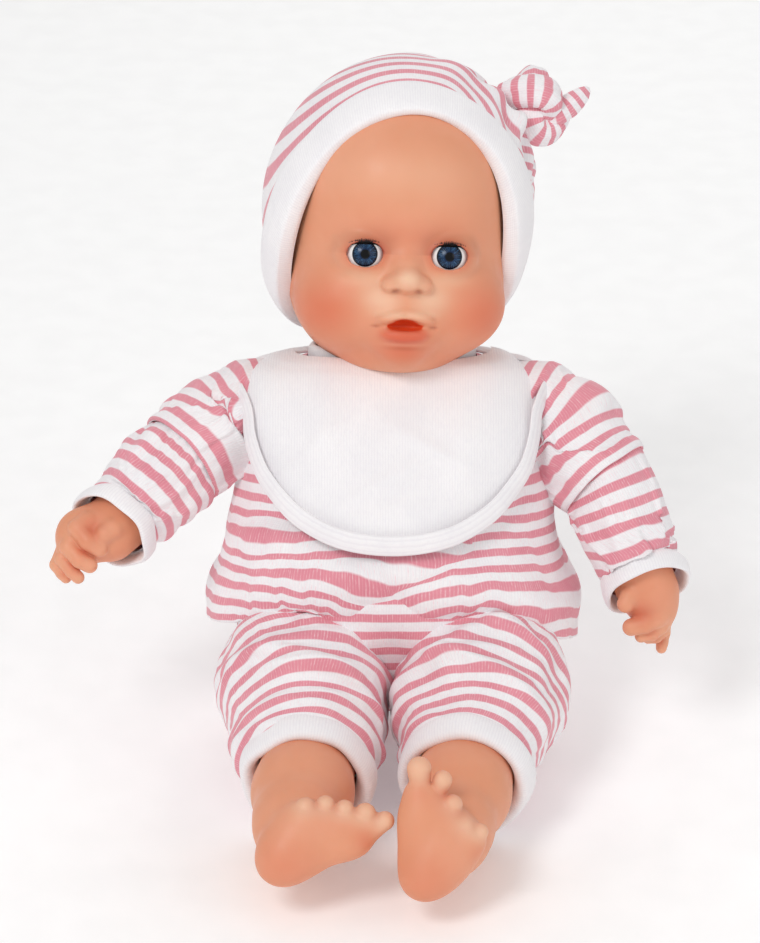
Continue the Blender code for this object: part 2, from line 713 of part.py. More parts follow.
def build_arm(m, side):
    name = SIDE_NAME[side]
    s, e = Vector(SHOULDER[side]), Vector(ELBOW[side])
    w, h = Vector(WRIST[side]), Vector(HAND[side])
    s.x = side * (ARMHOLE_X + 0.03)
    out = Vector((side, 0, 0))
    along = (e - s).normalized()
    turn = (out * 0.92 + Vector((0, -0.28, -0.28))).normalized()
    rim = e - along * 0.72
    second = s + out * 0.9 + Vector((0, -0.25, -0.25))
    shell = []
    for inset in (0.0, CLOTH):
        shell.append(path_rings([(s, out, 2.1 - inset), (second, turn, 2.08 - inset), (rim, along, 1.84 - inset)], 18))
    sleeve(f"sleeve_upper_{name}", Matrix.Identity(4), shell[0] + shell[1][::-1], m["stripe"])
    core = path_rings([(s, out, 1.93), (e - along * 1.8, turn, 1.5)], 16)
    solid(f"upper_arm_{name}", Matrix.Identity(4), core, m["fibre"])

    lower = frame_at(e, w - e, (0, 0.5, 1))
    reach = (w - e).length
    ball = ball_rows(1.64, 18, 90, 4)
    profile = ball + [(reach * 0.5, 1.62), (reach - 0.1, 1.45)]
    inside = [(reach - 0.1, 1.35), (reach * 0.5, 1.52)] + ball_rows(1.54, 20, 90, 4)[::-1]
    turned(f"sleeve_lower_{name}", lower, profile + inside, m["stripe"], n=16, closed=True)
    turned(f"sleeve_cuff_{name}", lower,
           [(reach - 0.75, 1.49 + 0.03), (reach - 0.75, 1.62), (reach + 0.1, 1.58), (reach + 0.1, 1.42),
            (reach - 0.06, 1.42), (reach - 0.06, 1.49)],
           m["white"], n=16, closed=True)

    arm = ball_rows(1.46, 0, 90, 4) + [(reach * 0.5, 1.40), (reach, 1.12), (reach + 0.5, 0.98)]
    forearm = turned(f"forearm_hand_{name}", lower, arm, m["vinyl"], n=18)
    axis = h - w
    grip = frame_at(w + axis * 0.05, axis, (0, 1, 0.2))
    palm_rows = [(0.0, 0.8, 0.6), (0.5, 1.05, 0.72), (1.2, 1.25, 0.78), (1.8, 1.1, 0.65), (2.05, 0.7, 0.4)]
    palm = solid(f"palm_{name}_tool", grip, [oval(a, b, z=z, n=14) for z, a, b in palm_rows], None)
    fuse(forearm, palm)
    for k in range(4):
        x = -0.84 + 0.56 * k
        drop = 0.15 * abs(k - 1.3)
        curl = 0.35 if k < 3 else 0.0
        f = grip @ frame_at((x, 0.1, 1.45 - drop), (0.12 * (k - 1.5), -curl, 1.0))
        finger = turned(f"finger_{name}_{k}_tool", f,
                        [(-0.3, 0.24), (0.4, 0.29), (0.95, 0.25), (1.12, 0.12)], None, n=10)
        fuse(forearm, finger)
    f = grip @ frame_at((-0.8, -0.35, 0.55), (-0.55, -0.6, 1.0))
    fuse(forearm, turned(f"thumb_{name}_tool", f, [(-0.3, 0.28), (0.5, 0.32), (1.0, 0.26), (1.2, 0.12)], None, n=10))


# ---------------------------------------------------------------- legs
def build_leg(m, side):
    name = SIDE_NAME[side]
    hip = Vector((side * HIP[0], HIP[1], HIP[2]))
    knee, ankle = Vector(KNEE[side]), Vector(ANKLE[side])
    upper = frame_at(hip, knee - hip)
    reach = (knee - hip).length
    ball = ball_rows(HIP_BALL, 22, 90, 5)
    inner_ball = ball_rows(HIP_BALL - CLOTH, 23, 90, 5)
    outer = ball + [(1.6, 2.82), (reach - 0.2, 2.18)]
    inner = [(reach - 0.2, 2.08), (1.6, 2.72)] + inner_ball[::-1]
    turned(f"trouser_leg_{name}", upper, outer + inner, m["stripe"], n=20, closed=True)
    core = ball_rows(HIP_BALL - CLOTH - GAP - 0.05, 0, 90, 5)
    core += [(1.6, 2.66), (reach - 0.95, 2.12), (reach - 0.85, 1.9)]
    thigh = turned(f"thigh_{name}", upper, core, m["fibre"], n=20)
    turned(f"trouser_cuff_{name}", upper,
           [(reach - 0.85, 2.40), (reach - 0.85, 2.52), (reach + 0.05, 2.36), (reach + 0.05, 2.04),
            (reach - 0.16, 2.04), (reach - 0.16, 2.22)],
           m["white"], n=20, closed=True)

    shin = frame_at(knee, ankle - knee, (TOES[side][0], 0, TOES[side][1]))
    run = (ankle - knee).length
    cut(thigh, turned(f"knee_bore_{name}_tool", shin, [(-2.15, 1.07), (0.2, 1.07)], None, n=18))
    profile = [(-1.95, 0.8), (-1.85, 1.0), (-0.42, 1.0), (-0.42, 1.66), (0.6, 1.75), (2.2, 1.74),
               (run - 1.4, 1.42), (run, 1.38), (run + 0.6, 1.0)]
    leg = turned(f"lower_leg_foot_{name}", shin, profile, m["vinyl"], n=18)
    # sole: sections run from the heel to the toe joints, across the leg
    toes = (math.cos(FOOT_TILT), 0, -math.sin(FOOT_TILT))
    foot = shin @ frame_at((0, 0, run + 0.15), toes, (0, 1, 0))
    rows = [(-1.45, 0.5, 0.45), (-1.1, 1.05, 0.8), (-0.3, 1.3, 0.98), (0.9, 1.28, 0.9), (2.0, 1.45, 0.72),
            (2.7, 1.42, 0.58), (3.0, 1.1, 0.4)]
    fuse(leg, solid(f"sole_{name}_tool", foot, [oval(a, b, z=z, n=16) for z, a, b in rows], None))
    big = -side
    for k in range(5):
        x = big * (0.98 - 0.5 * k) * foot_sign(foot, side)
        r = (0.42, 0.31, 0.29, 0.27, 0.25)[k]
        z = 3.25 - 0.13 * k - 0.03 * k * k
        f = foot @ Matrix.Translation((x, 0.0, z))
        fuse(leg, turned(f"toe_{name}_{k}_tool", f, ball_rows(r, 0, 180, 5), None, n=8))


def foot_sign(foot, side):
    """+1 if the foot frame's x points to the doll's left, else -1."""
    return 1 if (foot.to_3x3() @ Vector((1, 0, 0))).x > 0 else -1


def main():
    for obj in list(bpy.data.objects):
        bpy.data.objects.remove(obj, do_unlink=True)
    m = build_materials()
    build_torso(m)
    build_top(m)
    build_bib(m)
    build_module(m)
    build_head(m)
    build_hat(m)
    for side in (1, -1):
        build_arm(m, side)
        build_leg(m, side)


main()
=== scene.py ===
"""Looks of the seated baby doll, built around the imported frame. Tables are in centimetres."""
import json
import math

import bmesh
import bpy
import numpy as np
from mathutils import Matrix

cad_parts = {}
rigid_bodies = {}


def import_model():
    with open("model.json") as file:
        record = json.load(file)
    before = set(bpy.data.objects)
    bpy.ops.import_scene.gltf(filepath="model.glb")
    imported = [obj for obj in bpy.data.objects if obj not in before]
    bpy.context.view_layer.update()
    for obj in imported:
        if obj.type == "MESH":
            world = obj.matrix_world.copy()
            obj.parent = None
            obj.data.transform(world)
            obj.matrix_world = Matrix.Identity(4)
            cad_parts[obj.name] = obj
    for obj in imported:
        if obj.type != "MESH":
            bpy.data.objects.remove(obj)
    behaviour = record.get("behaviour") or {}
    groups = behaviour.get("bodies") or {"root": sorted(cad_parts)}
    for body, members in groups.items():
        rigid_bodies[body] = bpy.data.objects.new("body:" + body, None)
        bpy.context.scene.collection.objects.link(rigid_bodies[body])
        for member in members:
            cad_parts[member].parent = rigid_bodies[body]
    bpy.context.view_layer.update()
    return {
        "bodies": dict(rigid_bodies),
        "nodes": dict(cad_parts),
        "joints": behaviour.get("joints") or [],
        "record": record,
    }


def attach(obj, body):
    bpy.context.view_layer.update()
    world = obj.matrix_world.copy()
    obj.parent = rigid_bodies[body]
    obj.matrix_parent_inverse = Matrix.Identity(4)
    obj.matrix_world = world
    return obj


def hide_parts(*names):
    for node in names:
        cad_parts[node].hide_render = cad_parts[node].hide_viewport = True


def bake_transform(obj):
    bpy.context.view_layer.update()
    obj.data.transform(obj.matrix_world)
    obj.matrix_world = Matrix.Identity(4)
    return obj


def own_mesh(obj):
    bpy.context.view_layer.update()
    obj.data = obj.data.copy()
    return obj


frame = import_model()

import openvdb
from mathutils import Matrix, Vector

CM = 0.01
SEAT_SHIFT = 3.2  # the tables' origin is this far in front of the frame's
SIDES = {1: "left", -1: "right"}
TORSO = Matrix.Rotation(-math.radians(15), 4, "X")
HEAD = (
    TORSO
    @ Matrix.Translation((0.15, 0.1, 19.1))
    @ Matrix.Rotation(math.radians(5), 4, "Z")
    @ Matrix.Rotation(-math.radians(5), 4, "X")
    @ Matrix.Rotation(math.radians(2.5), 4, "Y")
)
HAT = HEAD @ Matrix.Rotation(-math.radians(50), 4, "X")
EYE_AT = (1.48, -3.62, -0.78)
SHOULDER = {1: (5.6, 3.1, 11.9), -1: (-5.6, 3.1, 12.0)}
ELBOW = {1: (7.8, 1.5, 10.1), -1: (-7.7, 1.6, 10.9)}
WRIST = {1: (9.2, -0.5, 6.7), -1: (-10.1, -1.0, 9.3)}
HIP = {1: (3.4, -1.6, 3.3), -1: (-3.4, -1.6, 3.3)}
KNEE = {1: (2.7, -6.0, 2.7), -1: (-2.95, -6.0, 2.7)}
ANKLE = {1: (1.62, -11.7, 2.35), -1: (-3.4, -11.3, 2.45)}


# ------------------------------------------------------------------ frames and small maths
def mat_np(m):
    return np.array([list(row) for row in m], float)


def to_row(points, m=Matrix.Identity(4)):
    """Local centimetres to row-frame metres."""
    a = mat_np(m)
    p = np.asarray(points, float) @ a[:3, :3].T + a[:3, 3]
    p[:, 1] -= SEAT_SHIFT
    return p * CM


def frame_at(origin, z_axis, x_hint):
    w = Vector(z_axis).normalized()
    u = Vector(x_hint)
    u = (u - w * u.dot(w)).normalized()
    m = Matrix((u, w.cross(u), w)).transposed().to_4x4()
    m.translation = Vector(origin)
    return m


def unit(v):
    """Direction of a vector, or of each row of an array."""
    return v / (np.linalg.norm(v) if v.ndim == 1 else np.linalg.norm(v, axis=-1, keepdims=True))


def ray(start, end):
    """Both points as arrays, and the direction from one to the other."""
    a, b = np.array(start, float), np.array(end, float)
    return a, b, unit(b - a)


def step01(v, low, high):
    t = np.clip((v - low) / (high - low), 0, 1)
    return t * t * (3 - 2 * t)


def bell(v, width):
    return np.exp(-((v / width) ** 2))


def gauss(p, centre, radii):
    return np.exp(-sum(((p[:, k] - centre[k]) / radii[k]) ** 2 for k in range(3)))


def spots(p, *rows):
    """Sum of soft spots, each one (weight, centre, radii)."""
    return sum(weight * gauss(p, centre, radii) for weight, centre, radii in rows)


def blob(p, centre, radius):
    return np.exp(-((p - np.array(centre)) ** 2).sum(1) / radius**2)


def run_along(points):
    """Distance from the first point to each point of a line."""
    return np.concatenate([[0], np.cumsum(np.linalg.norm(np.diff(points, axis=0), axis=1))])


def spread(at, knots, table):
    """Every column of a table looked up at the same places."""
    return np.column_stack([np.interp(at, knots, table[:, k]) for k in range(table.shape[1])])


def stretch(values, count):
    """A list of values resampled to another count."""
    n = len(values)
    return np.interp(np.linspace(0, n - 1, count), np.arange(n), values)


def blurred(table, size):
    """Columns smoothed by a bell of an odd number of rows; the result is that much shorter."""
    kernel = np.hanning(size)
    kernel /= kernel.sum()
    return np.column_stack([np.convolve(column, kernel, "valid") for column in table.T])


def soft_min(a, b, k):
    if k <= 0:
        return np.minimum(a, b)
    h = np.clip(0.5 + 0.5 * (b - a) / k, 0, 1)
    return b + (a - b) * h - k * h * (1 - h)


# ------------------------------------------------------------------ distance fields
class Field:
    """A box of samples, negative inside the shape. Lengths in centimetres."""

    def __init__(self, low, high, step):
        self.low = np.array(low, np.float32)
        self.step = step
        n = np.ceil((np.array(high) - self.low) / step).astype(int) + 1
        self.p = []
        for k in range(3):
            line = self.low[k] + step * np.arange(n[k], dtype=np.float32)
            self.p.append(line.reshape([-1 if i == k else 1 for i in range(3)]))
        self.d = np.full(n, 9.0, np.float32)

    def ellipsoid(self, centre, radii, turn=None):
        x, y, z = (self.p[k] - np.float32(centre[k]) for k in range(3))
        if turn is not None:
            m = np.array(turn.to_3x3().transposed(), np.float32)
            x, y, z = (m[k][0] * x + m[k][1] * y + m[k][2] * z for k in range(3))
        a, b, c = (np.float32(r) for r in radii)
        k0 = np.sqrt((x / a) ** 2 + (y / b) ** 2 + (z / c) ** 2)
        k1 = np.sqrt((x / a**2) ** 2 + (y / b**2) ** 2 + (z / c**2) ** 2)
        return k0 * (k0 - 1) / np.maximum(k1, 1e-6)

    def capsule(self, a, b, ra, rb):
        a, b = np.array(a, np.float32), np.array(b, np.float32)
        e = b - a
        q = [self.p[k] - a[k] for k in range(3)]
        t = np.clip((q[0] * e[0] + q[1] * e[1] + q[2] * e[2]) / np.float32(e @ e), 0, 1)
        return np.sqrt(sum((q[k] - t * e[k]) ** 2 for k in range(3))) - (ra + (rb - ra) * t)

    def add(self, other, k=0.0):
        self.d = soft_min(self.d, other, k)

    def cut(self, other, k=0.0):
        self.d = -soft_min(-self.d, other, k)

    def bulge(self, centre, radii, k, turn=None):
        self.add(self.ellipsoid(centre, radii, turn), k)

    def dent(self, centre, radii, k, turn=None):
        self.cut(self.ellipsoid(centre, radii, turn), k)

    def rod(self, a, b, ra, rb, k=0.0):
        self.add(self.capsule(a, b, ra, rb), k)

    def groove(self, a, b, ra, rb, k):
        self.cut(self.capsule(a, b, ra, rb), k)

    def mesh(self, smooth=2):
        grid = openvdb.FloatGrid(9.0)
        grid.copyFromArray(np.ascontiguousarray(self.d))
        points, quads = grid.convertToQuads(0.0)
        points, quads = points * self.step + self.low, quads.astype(np.int64)
        for _ in range(smooth):
            points = relax(points, quads)
        return points, quads


def relax(points, quads):
    """One pass of neighbour averaging, followed by a step back that keeps the size."""
    edges = np.concatenate([quads[:, [k, (k + 1) % 4]] for k in range(4)])
    edges = np.unique(np.sort(edges, axis=1), axis=0)
    count = np.bincount(edges.ravel(), minlength=len(points)).astype(float)
    for factor in (0.55, -0.56):
        total = np.zeros_like(points)
        for k in range(3):
            total[:, k] = np.bincount(edges[:, 0], points[edges[:, 1], k], len(points))
            total[:, k] += np.bincount(edges[:, 1], points[edges[:, 0], k], len(points))
        points = points + factor * (total / np.maximum(count, 1)[:, None] - points)
    return points


# ------------------------------------------------------------------ meshes
def new_mesh(name, points, faces, mat, m=Matrix.Identity(4), smooth=True):
    mesh = bpy.data.meshes.new(name)
    mesh.from_pydata(to_row(points, m).tolist(), [], faces if isinstance(faces, list) else faces.tolist())
    mesh.validate()
    mesh.materials.append(mat)
    mesh.polygons.foreach_set("use_smooth", [smooth] * len(mesh.polygons))
    bm = bmesh.new()
    bm.from_mesh(mesh)
    bmesh.ops.recalc_face_normals(bm, faces=bm.faces)
    bm.to_mesh(mesh)
    bm.free()
    return link(name, mesh)


def link(name, data):
    obj = bpy.data.objects.new(name, data)
    bpy.context.scene.collection.objects.link(obj)
    return obj


def declare(obj, body, slot, *nodes):
    """Says what a piece rides on and which nodes it stands for; what it is made of (the slot) is not used."""
    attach(obj, body)
    if nodes:
        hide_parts(*nodes)


def store(obj, name, values):
    values = np.asarray(values, np.float32)
    kind, key = ("FLOAT", "value") if values.ndim == 1 else ("FLOAT_VECTOR", "vector")
    obj.data.attributes.new(name, kind, "POINT").data.foreach_set(key, values.ravel())


def grid_faces(rows, cols, wrap=True):
    faces = []
    for r in range(rows - 1):
        for c in range(cols if wrap else cols - 1):
            d = (c + 1) % cols
            faces.append((r * cols + c, r * cols + d, (r + 1) * cols + d, (r + 1) * cols + c))
    return faces


# ------------------------------------------------------------------ materials
class Nodes:
    """Small helper for writing node trees."""

    NAMES = {
        "rough": "Roughness", "metal": "Metallic", "coat": "Coat Weight", "coat_rough": "Coat Roughness",
        "sheen": "Sheen Weight", "sheen_rough": "Sheen Roughness", "spec": "Specular IOR Level",
        "sss": "Subsurface Weight", "sss_scale": "Subsurface Scale",
    }

    def __init__(self, name):
        self.mat = bpy.data.materials.new(name)
        self.mat.use_nodes = True
        self.tree = self.mat.node_tree
        self.bsdf = self.tree.nodes["Principled BSDF"]

    def new(self, kind, **settings):
        n = self.tree.nodes.new(kind)
        for key, value in settings.items():
            setattr(n, key, value)
        return n

    def feed(self, socket, value):
        if isinstance(value, (int, float)):
            socket.default_value = value
        elif isinstance(value, tuple):
            socket.default_value = (*value, 1.0)
        else:
            self.tree.links.new(value, socket)

    def vector(self, name):
        return self.new("ShaderNodeAttribute", attribute_name=name).outputs["Vector"]

    def mask(self, name):
        return self.new("ShaderNodeAttribute", attribute_name=name).outputs["Fac"]

    def math(self, operation, *values):
        n = self.new("ShaderNodeMath", operation=operation)
        for k, value in enumerate(values):
            self.feed(n.inputs[k], value)
        return n.outputs[0]

    def times(self, first, *others):
        for value in others:
            first = self.math("MULTIPLY", first, value)
        return first

    def mix(self, factor, a, b):
        n = self.new("ShaderNodeMix", data_type="RGBA")
        for k, value in ((0, factor), (6, a), (7, b)):
            self.feed(n.inputs[k], value)
        return n.outputs[2]

    def paint(self, base, *coats):
        """Colours laid over a base one by one, each through its own mask."""
        for factor, colour in coats:
            base = self.mix(factor, base, colour)
        return base

    def noise(self, scale, detail, vector=None, rough=0.5):
        n = self.new("ShaderNodeTexNoise")
        for key, value in (("Scale", scale), ("Detail", detail), ("Roughness", rough)):
            n.inputs[key].default_value = value
        self.feed(n.inputs["Vector"], vector or self.coords())
        return n.outputs["Fac"]

    def coords(self):
        return self.new("ShaderNodeTexCoord").outputs["Object"]

    def ramp(self, value, low, high, out_low=0.0, out_high=1.0):
        n = self.new("ShaderNodeMapRange", interpolation_type="SMOOTHSTEP")
        self.feed(n.inputs["Value"], value)
        for key, v in (("From Min", low), ("From Max", high), ("To Min", out_low), ("To Max", out_high)):
            n.inputs[key].default_value = v
        return n.outputs["Result"]

    def blotchy(self, value, a, b, low=0.3, high=0.7):
        """Two close colours in soft patches."""
        return self.mix(self.ramp(value, low, high), a, b)

    def bump(self, height, strength, distance):
        n = self.new("ShaderNodeBump")
        for key, value in (("Strength", strength), ("Distance", distance), ("Height", height)):
            self.feed(n.inputs[key], value)
        self.feed(self.bsdf.inputs["Normal"], n.outputs["Normal"])

    def finish(self, base, **settings):
        self.feed(self.bsdf.inputs["Base Color"], base)
        for key, value in settings.items():
            self.bsdf.inputs[self.NAMES[key]].default_value = value
        return self.mat


def srgb(*rgb):
    def linear(v):
        return v / 12.92 if v <= 0.04045 else ((v + 0.055) / 1.055) ** 2.4

    return tuple(linear(v / 255) for v in rgb)


# The skin's masks in order: rouge mixed with painted shade, painted highlight, painted shade in creases and
# hollows, lip paint, the mouth's painted inside.
SKIN_MASKS = ("blush", "pale", "deep", "lip", "inside")


def vinyl_material():
    """Soft matt vinyl: base tone, rouge mixed with painted shade, painted highlights and painted shade come from
    the mesh's own masks.
    """
    n = Nodes("vinyl_skin")
    # Tones: light for painted highlights, rosy for rouge and painted shade, dark red-brown for painted shade, then
    # lip and mouth paint.
    tones = {
        "pale": (240, 199, 168), "blush": (214, 92, 60), "deep": (140, 48, 30), "lip": (216, 88, 60),
        "inside": (226, 84, 40),
    }
    base = n.blotchy(n.noise(35.0, 3.0), srgb(227, 154, 119), srgb(231, 161, 128), 0.35)
    base = n.paint(base, *((n.mask(name), srgb(*tone)) for name, tone in tones.items()))
    n.feed(n.bsdf.inputs["Roughness"], n.ramp(n.noise(220.0, 3.0), 0.3, 0.7, 0.42, 0.52))
    n.bump(n.noise(1800.0, 2.0), 0.10, 0.0002)
    n.bsdf.inputs["Subsurface Radius"].default_value = (1.0, 0.35, 0.2)
    return n.finish(base, sss=0.15, sss_scale=0.004, spec=0.35)


def eye_material():
    """Sleeping eye: iris with streaks, pupil, white and a painted lid, from the ball's own coordinates."""
    n = Nodes("eye_acrylic")
    sep = n.new("ShaderNodeSeparateXYZ")
    n.feed(sep.inputs[0], n.vector("eye"))
    x, y, z = sep.outputs
    r = n.math("SQRT", n.math("ADD", n.times(x, x), n.times(z, z)))
    polar = n.new("ShaderNodeCombineXYZ")
    for k, part in enumerate((x, z)):
        n.feed(polar.inputs[k], n.times(n.math("DIVIDE", part, n.math("ADD", r, 0.001)), 9.0))
    n.feed(polar.inputs[2], n.times(r, 1.6))
    streaks = n.ramp(n.noise(2.4, 4.0, polar.outputs[0], 0.7), 0.47, 0.70)
    streaks = n.times(streaks, n.ramp(r, 0.16, 0.24), n.ramp(r, 0.37, 0.44, 1.0, 0.0))
    pupil, rim = n.ramp(r, 0.175, 0.150), n.ramp(r, 0.385, 0.43)
    iris = n.mix(n.ramp(r, 0.16, 0.42), srgb(14, 34, 66), srgb(6, 12, 28))
    black = (0.002, 0.002, 0.003)
    iris = n.paint(iris, (streaks, srgb(72, 122, 168)), (rim, srgb(10, 12, 24)), (pupil, black))
    white = n.blotchy(n.noise(3.0, 5.0, n.vector("eye")), srgb(246, 244, 242), srgb(236, 230, 230), 0.4, 0.75)
    white = n.mix(n.ramp(n.math("ABSOLUTE", x), 0.48, 0.66), white, srgb(226, 176, 166))
    ball = n.mix(n.ramp(r, 0.435, 0.46), iris, white)
    ball = n.mix(n.math("LESS_THAN", y, 0.0), white, ball)
    line = n.times(n.ramp(z, 0.325, 0.345), n.ramp(z, 0.415, 0.43, 1.0, 0.0))
    ball = n.paint(ball, (n.ramp(z, 0.395, 0.405), srgb(226, 150, 122)), (line, srgb(16, 8, 8)))
    n.bump(n.times(streaks, -1.0), 0.12, 0.0004)
    return n.finish(ball, rough=0.20, coat=0.22, coat_rough=0.02, spec=0.15)


def jersey(name, striped):
    """Knitted jersey. Its stripes, ribs and flecks follow the cloth's own coordinates."""
    n = Nodes(name)
    sep = n.new("ShaderNodeSeparateXYZ")
    cloth = n.vector("cloth")
    n.feed(sep.inputs[0], cloth)
    u, v = sep.outputs[0], sep.outputs[1]
    rib = n.math("MULTIPLY_ADD", n.noise(3.0, 2.0, cloth), 2.5, n.times(u, 2 * math.pi / RIB_PITCH))
    rib = n.math("SINE", rib)
    course = n.math("SINE", n.times(v, 2 * math.pi / COURSE_PITCH))
    grain = n.new("ShaderNodeVectorMath", operation="MULTIPLY")
    n.feed(grain.inputs[0], cloth)
    grain.inputs[1].default_value = (11.0, 4.0, 1.0)
    fleck = n.ramp(n.noise(1.0, 3.0, grain.outputs[0], 0.7), 0.46, 0.66)
    shade = n.noise(0.6, 3.0, cloth)
    white = n.blotchy(shade, srgb(248, 246, 247), srgb(243, 241, 243))
    # Painted shade in the troughs between the ribs.
    white = n.mix(n.times(n.ramp(rib, 0.0, -0.9), 0.16), white, srgb(214, 206, 216))
    if striped:
        crest = n.ramp(rib, 0.1, 0.9)
        flecked = n.times(fleck, crest)
        # Light flecks of the yarn on the rib crests, plus a painted highlight along every crest.
        pale = n.math("ADD", n.times(flecked, 0.50), n.times(crest, 0.12))
        pink = n.blotchy(shade, srgb(231, 150, 163), srgb(224, 140, 154))
        pink = n.mix(pale, pink, srgb(249, 216, 222))
        white = n.mix(n.times(flecked, 0.40), white, srgb(240, 190, 202))
        wavy = n.math("MULTIPLY_ADD", n.noise(1.1, 2.0, cloth), 0.05, v)
        phase = n.math("FRACT", n.math("DIVIDE", wavy, STRIPE_PITCH))
        band = n.times(n.ramp(phase, 0.0, 0.085), n.ramp(phase, 0.46, 0.545, 1.0, 0.0))
        base = n.mix(band, white, pink)
    else:
        base = n.mix(n.times(fleck, 0.15), white, srgb(226, 222, 232))
    n.bump(n.math("ADD", n.times(rib, 0.6), n.times(course, 0.25)), 0.35 if striped else 0.28, 0.00016)
    return n.finish(base, rough=0.92, sheen=0.25, sheen_rough=0.5, spec=0.2)


def plastic(name, a, b, rough, scale=120.0, metal=0.0):
    n = Nodes(name)
    grain = n.noise(scale, 3.0)
    n.bump(grain, 0.12, 0.0002)
    return n.finish(n.blotchy(grain, a, b), rough=rough, metal=metal, spec=0.5)


def board_material():
    n = Nodes("circuit_board_green")
    tracks = n.new("ShaderNodeTexVoronoi", feature="DISTANCE_TO_EDGE")
    tracks.inputs["Scale"].default_value = 420.0
    n.feed(tracks.inputs["Vector"], n.coords())
    line = n.ramp(tracks.outputs["Distance"], 0.02, 0.07)
    n.bump(line, 0.2, 0.0001)
    return n.finish(n.mix(line, srgb(40, 110, 60), srgb(18, 70, 38)), rough=0.4, coat=0.3)


# ------------------------------------------------------------------ head
EYE_SLIT = (0.62, 0.43)  # half the width and half the height of the opening between the lids


def pair(action, centre, radii, k, turn=0.0):
    """Does the same to both sides of the face, mirrored."""
    for side in SIDES:
        tilted = Matrix.Rotation(side * turn, 4, "Y") if turn else None
        action((side * centre[0], *centre[1:]), radii, k, tilted)


def head_field():
    f = Field((-4.9, -5.6, -5.6), (4.9, 5.1, 6.2), 0.055)
    f.d = f.ellipsoid((0, 0, 0.6), (4.16, 4.72, 5.35))
    f.bulge((0, -0.75, -2.3), (3.64, 3.72, 2.75), 1.0)
    f.bulge((0, -2.4, 1.9), (2.9, 2.35, 2.3), 1.2)
    pair(f.bulge, (1.95, -2.55, -2.55), (1.72, 1.68, 1.5), 0.8)
    # chin, muzzle and throat
    f.bulge((0, -3.45, -3.98), (0.9, 0.86, 0.76), 0.55)
    f.bulge((0, -3.7, -3.05), (1.40, 1.02, 1.12), 0.6)
    f.bulge((0, -1.4, -4.3), (1.7, 1.9, 0.8), 0.7)
    # hollows round the eyes, then the nose
    pair(f.dent, (1.52, -5.25, -0.62), (1.15, 0.92, 0.80), 0.6)
    f.dent((0, -5.35, -0.62), (0.75, 0.72, 0.6), 0.5)
    f.rod((0, -4.22, -0.75), (0, -4.62, -1.5), 0.24, 0.38, 0.5)
    f.bulge((0, -4.86, -1.66), (0.54, 0.46, 0.42), 0.22)
    for k in SIDES:
        f.bulge((k * 0.54, -4.66, -1.80), (0.36, 0.36, 0.29), 0.2)
        f.dent((k * 0.41, -4.98, -2.05), (0.15, 0.22, 0.09), 0.07, Matrix.Rotation(k * 0.3, 4, "Y"))
    # lips
    pair(f.bulge, (0.38, -4.58, -2.93), (0.64, 0.32, 0.20), 0.16, 0.2)
    f.groove((0, -5.02, -2.28), (0, -4.98, -2.8), 0.10, 0.12, 0.14)
    f.bulge((0, -4.46, -3.58), (0.80, 0.38, 0.28), 0.16)
    f.groove((-0.5, -4.70, -4.05), (0.5, -4.70, -4.05), 0.12, 0.12, 0.25)
    f.dent((0, -4.70, -3.27), (0.66, 0.46, 0.15), 0.08)
    f.dent((0, -4.74, -3.15), (0.40, 0.42, 0.14), 0.10)
    for k in SIDES:
        f.groove((k * 0.5, -4.80, -3.27), (k * 1.08, -4.38, -3.29), 0.05, 0.04, 0.10)
        # eyelids, the opening between them and the socket behind
        e = (k * EYE_AT[0], EYE_AT[1], EYE_AT[2])
        f.bulge(e, (1.10, 1.10, 1.02), 0.22)
        f.dent(e, (1.02, 1.02, 1.02), 0.0)
        x, z = (f.p[0] - e[0]) / EYE_SLIT[0], (f.p[2] - e[2]) / EYE_SLIT[1]
        almond = (np.sqrt(np.abs(x) ** 2.3 + np.abs(z) ** 2.0) - 1) * EYE_SLIT[1]
        f.cut(np.maximum(almond, f.p[1] - e[1]), 0.03)
        # ears
        f.bulge((k * 3.95, 0.35, -1.0), (0.42, 0.62, 0.95), 0.15)
        f.dent((k * 4.42, 0.25, -0.95), (0.28, 0.33, 0.55), 0.15)
    # slanting underside, where the neck ring sits
    f.cut(f.p[2] - 0.28 * f.p[1] + 4.4, 0.35)
    return f


def skin_masks(obj, **masks):
    count = len(obj.data.vertices)
    for name in SKIN_MASKS:
        store(obj, name, np.clip(np.zeros(count) + masks.get(name, 0), 0, 1))


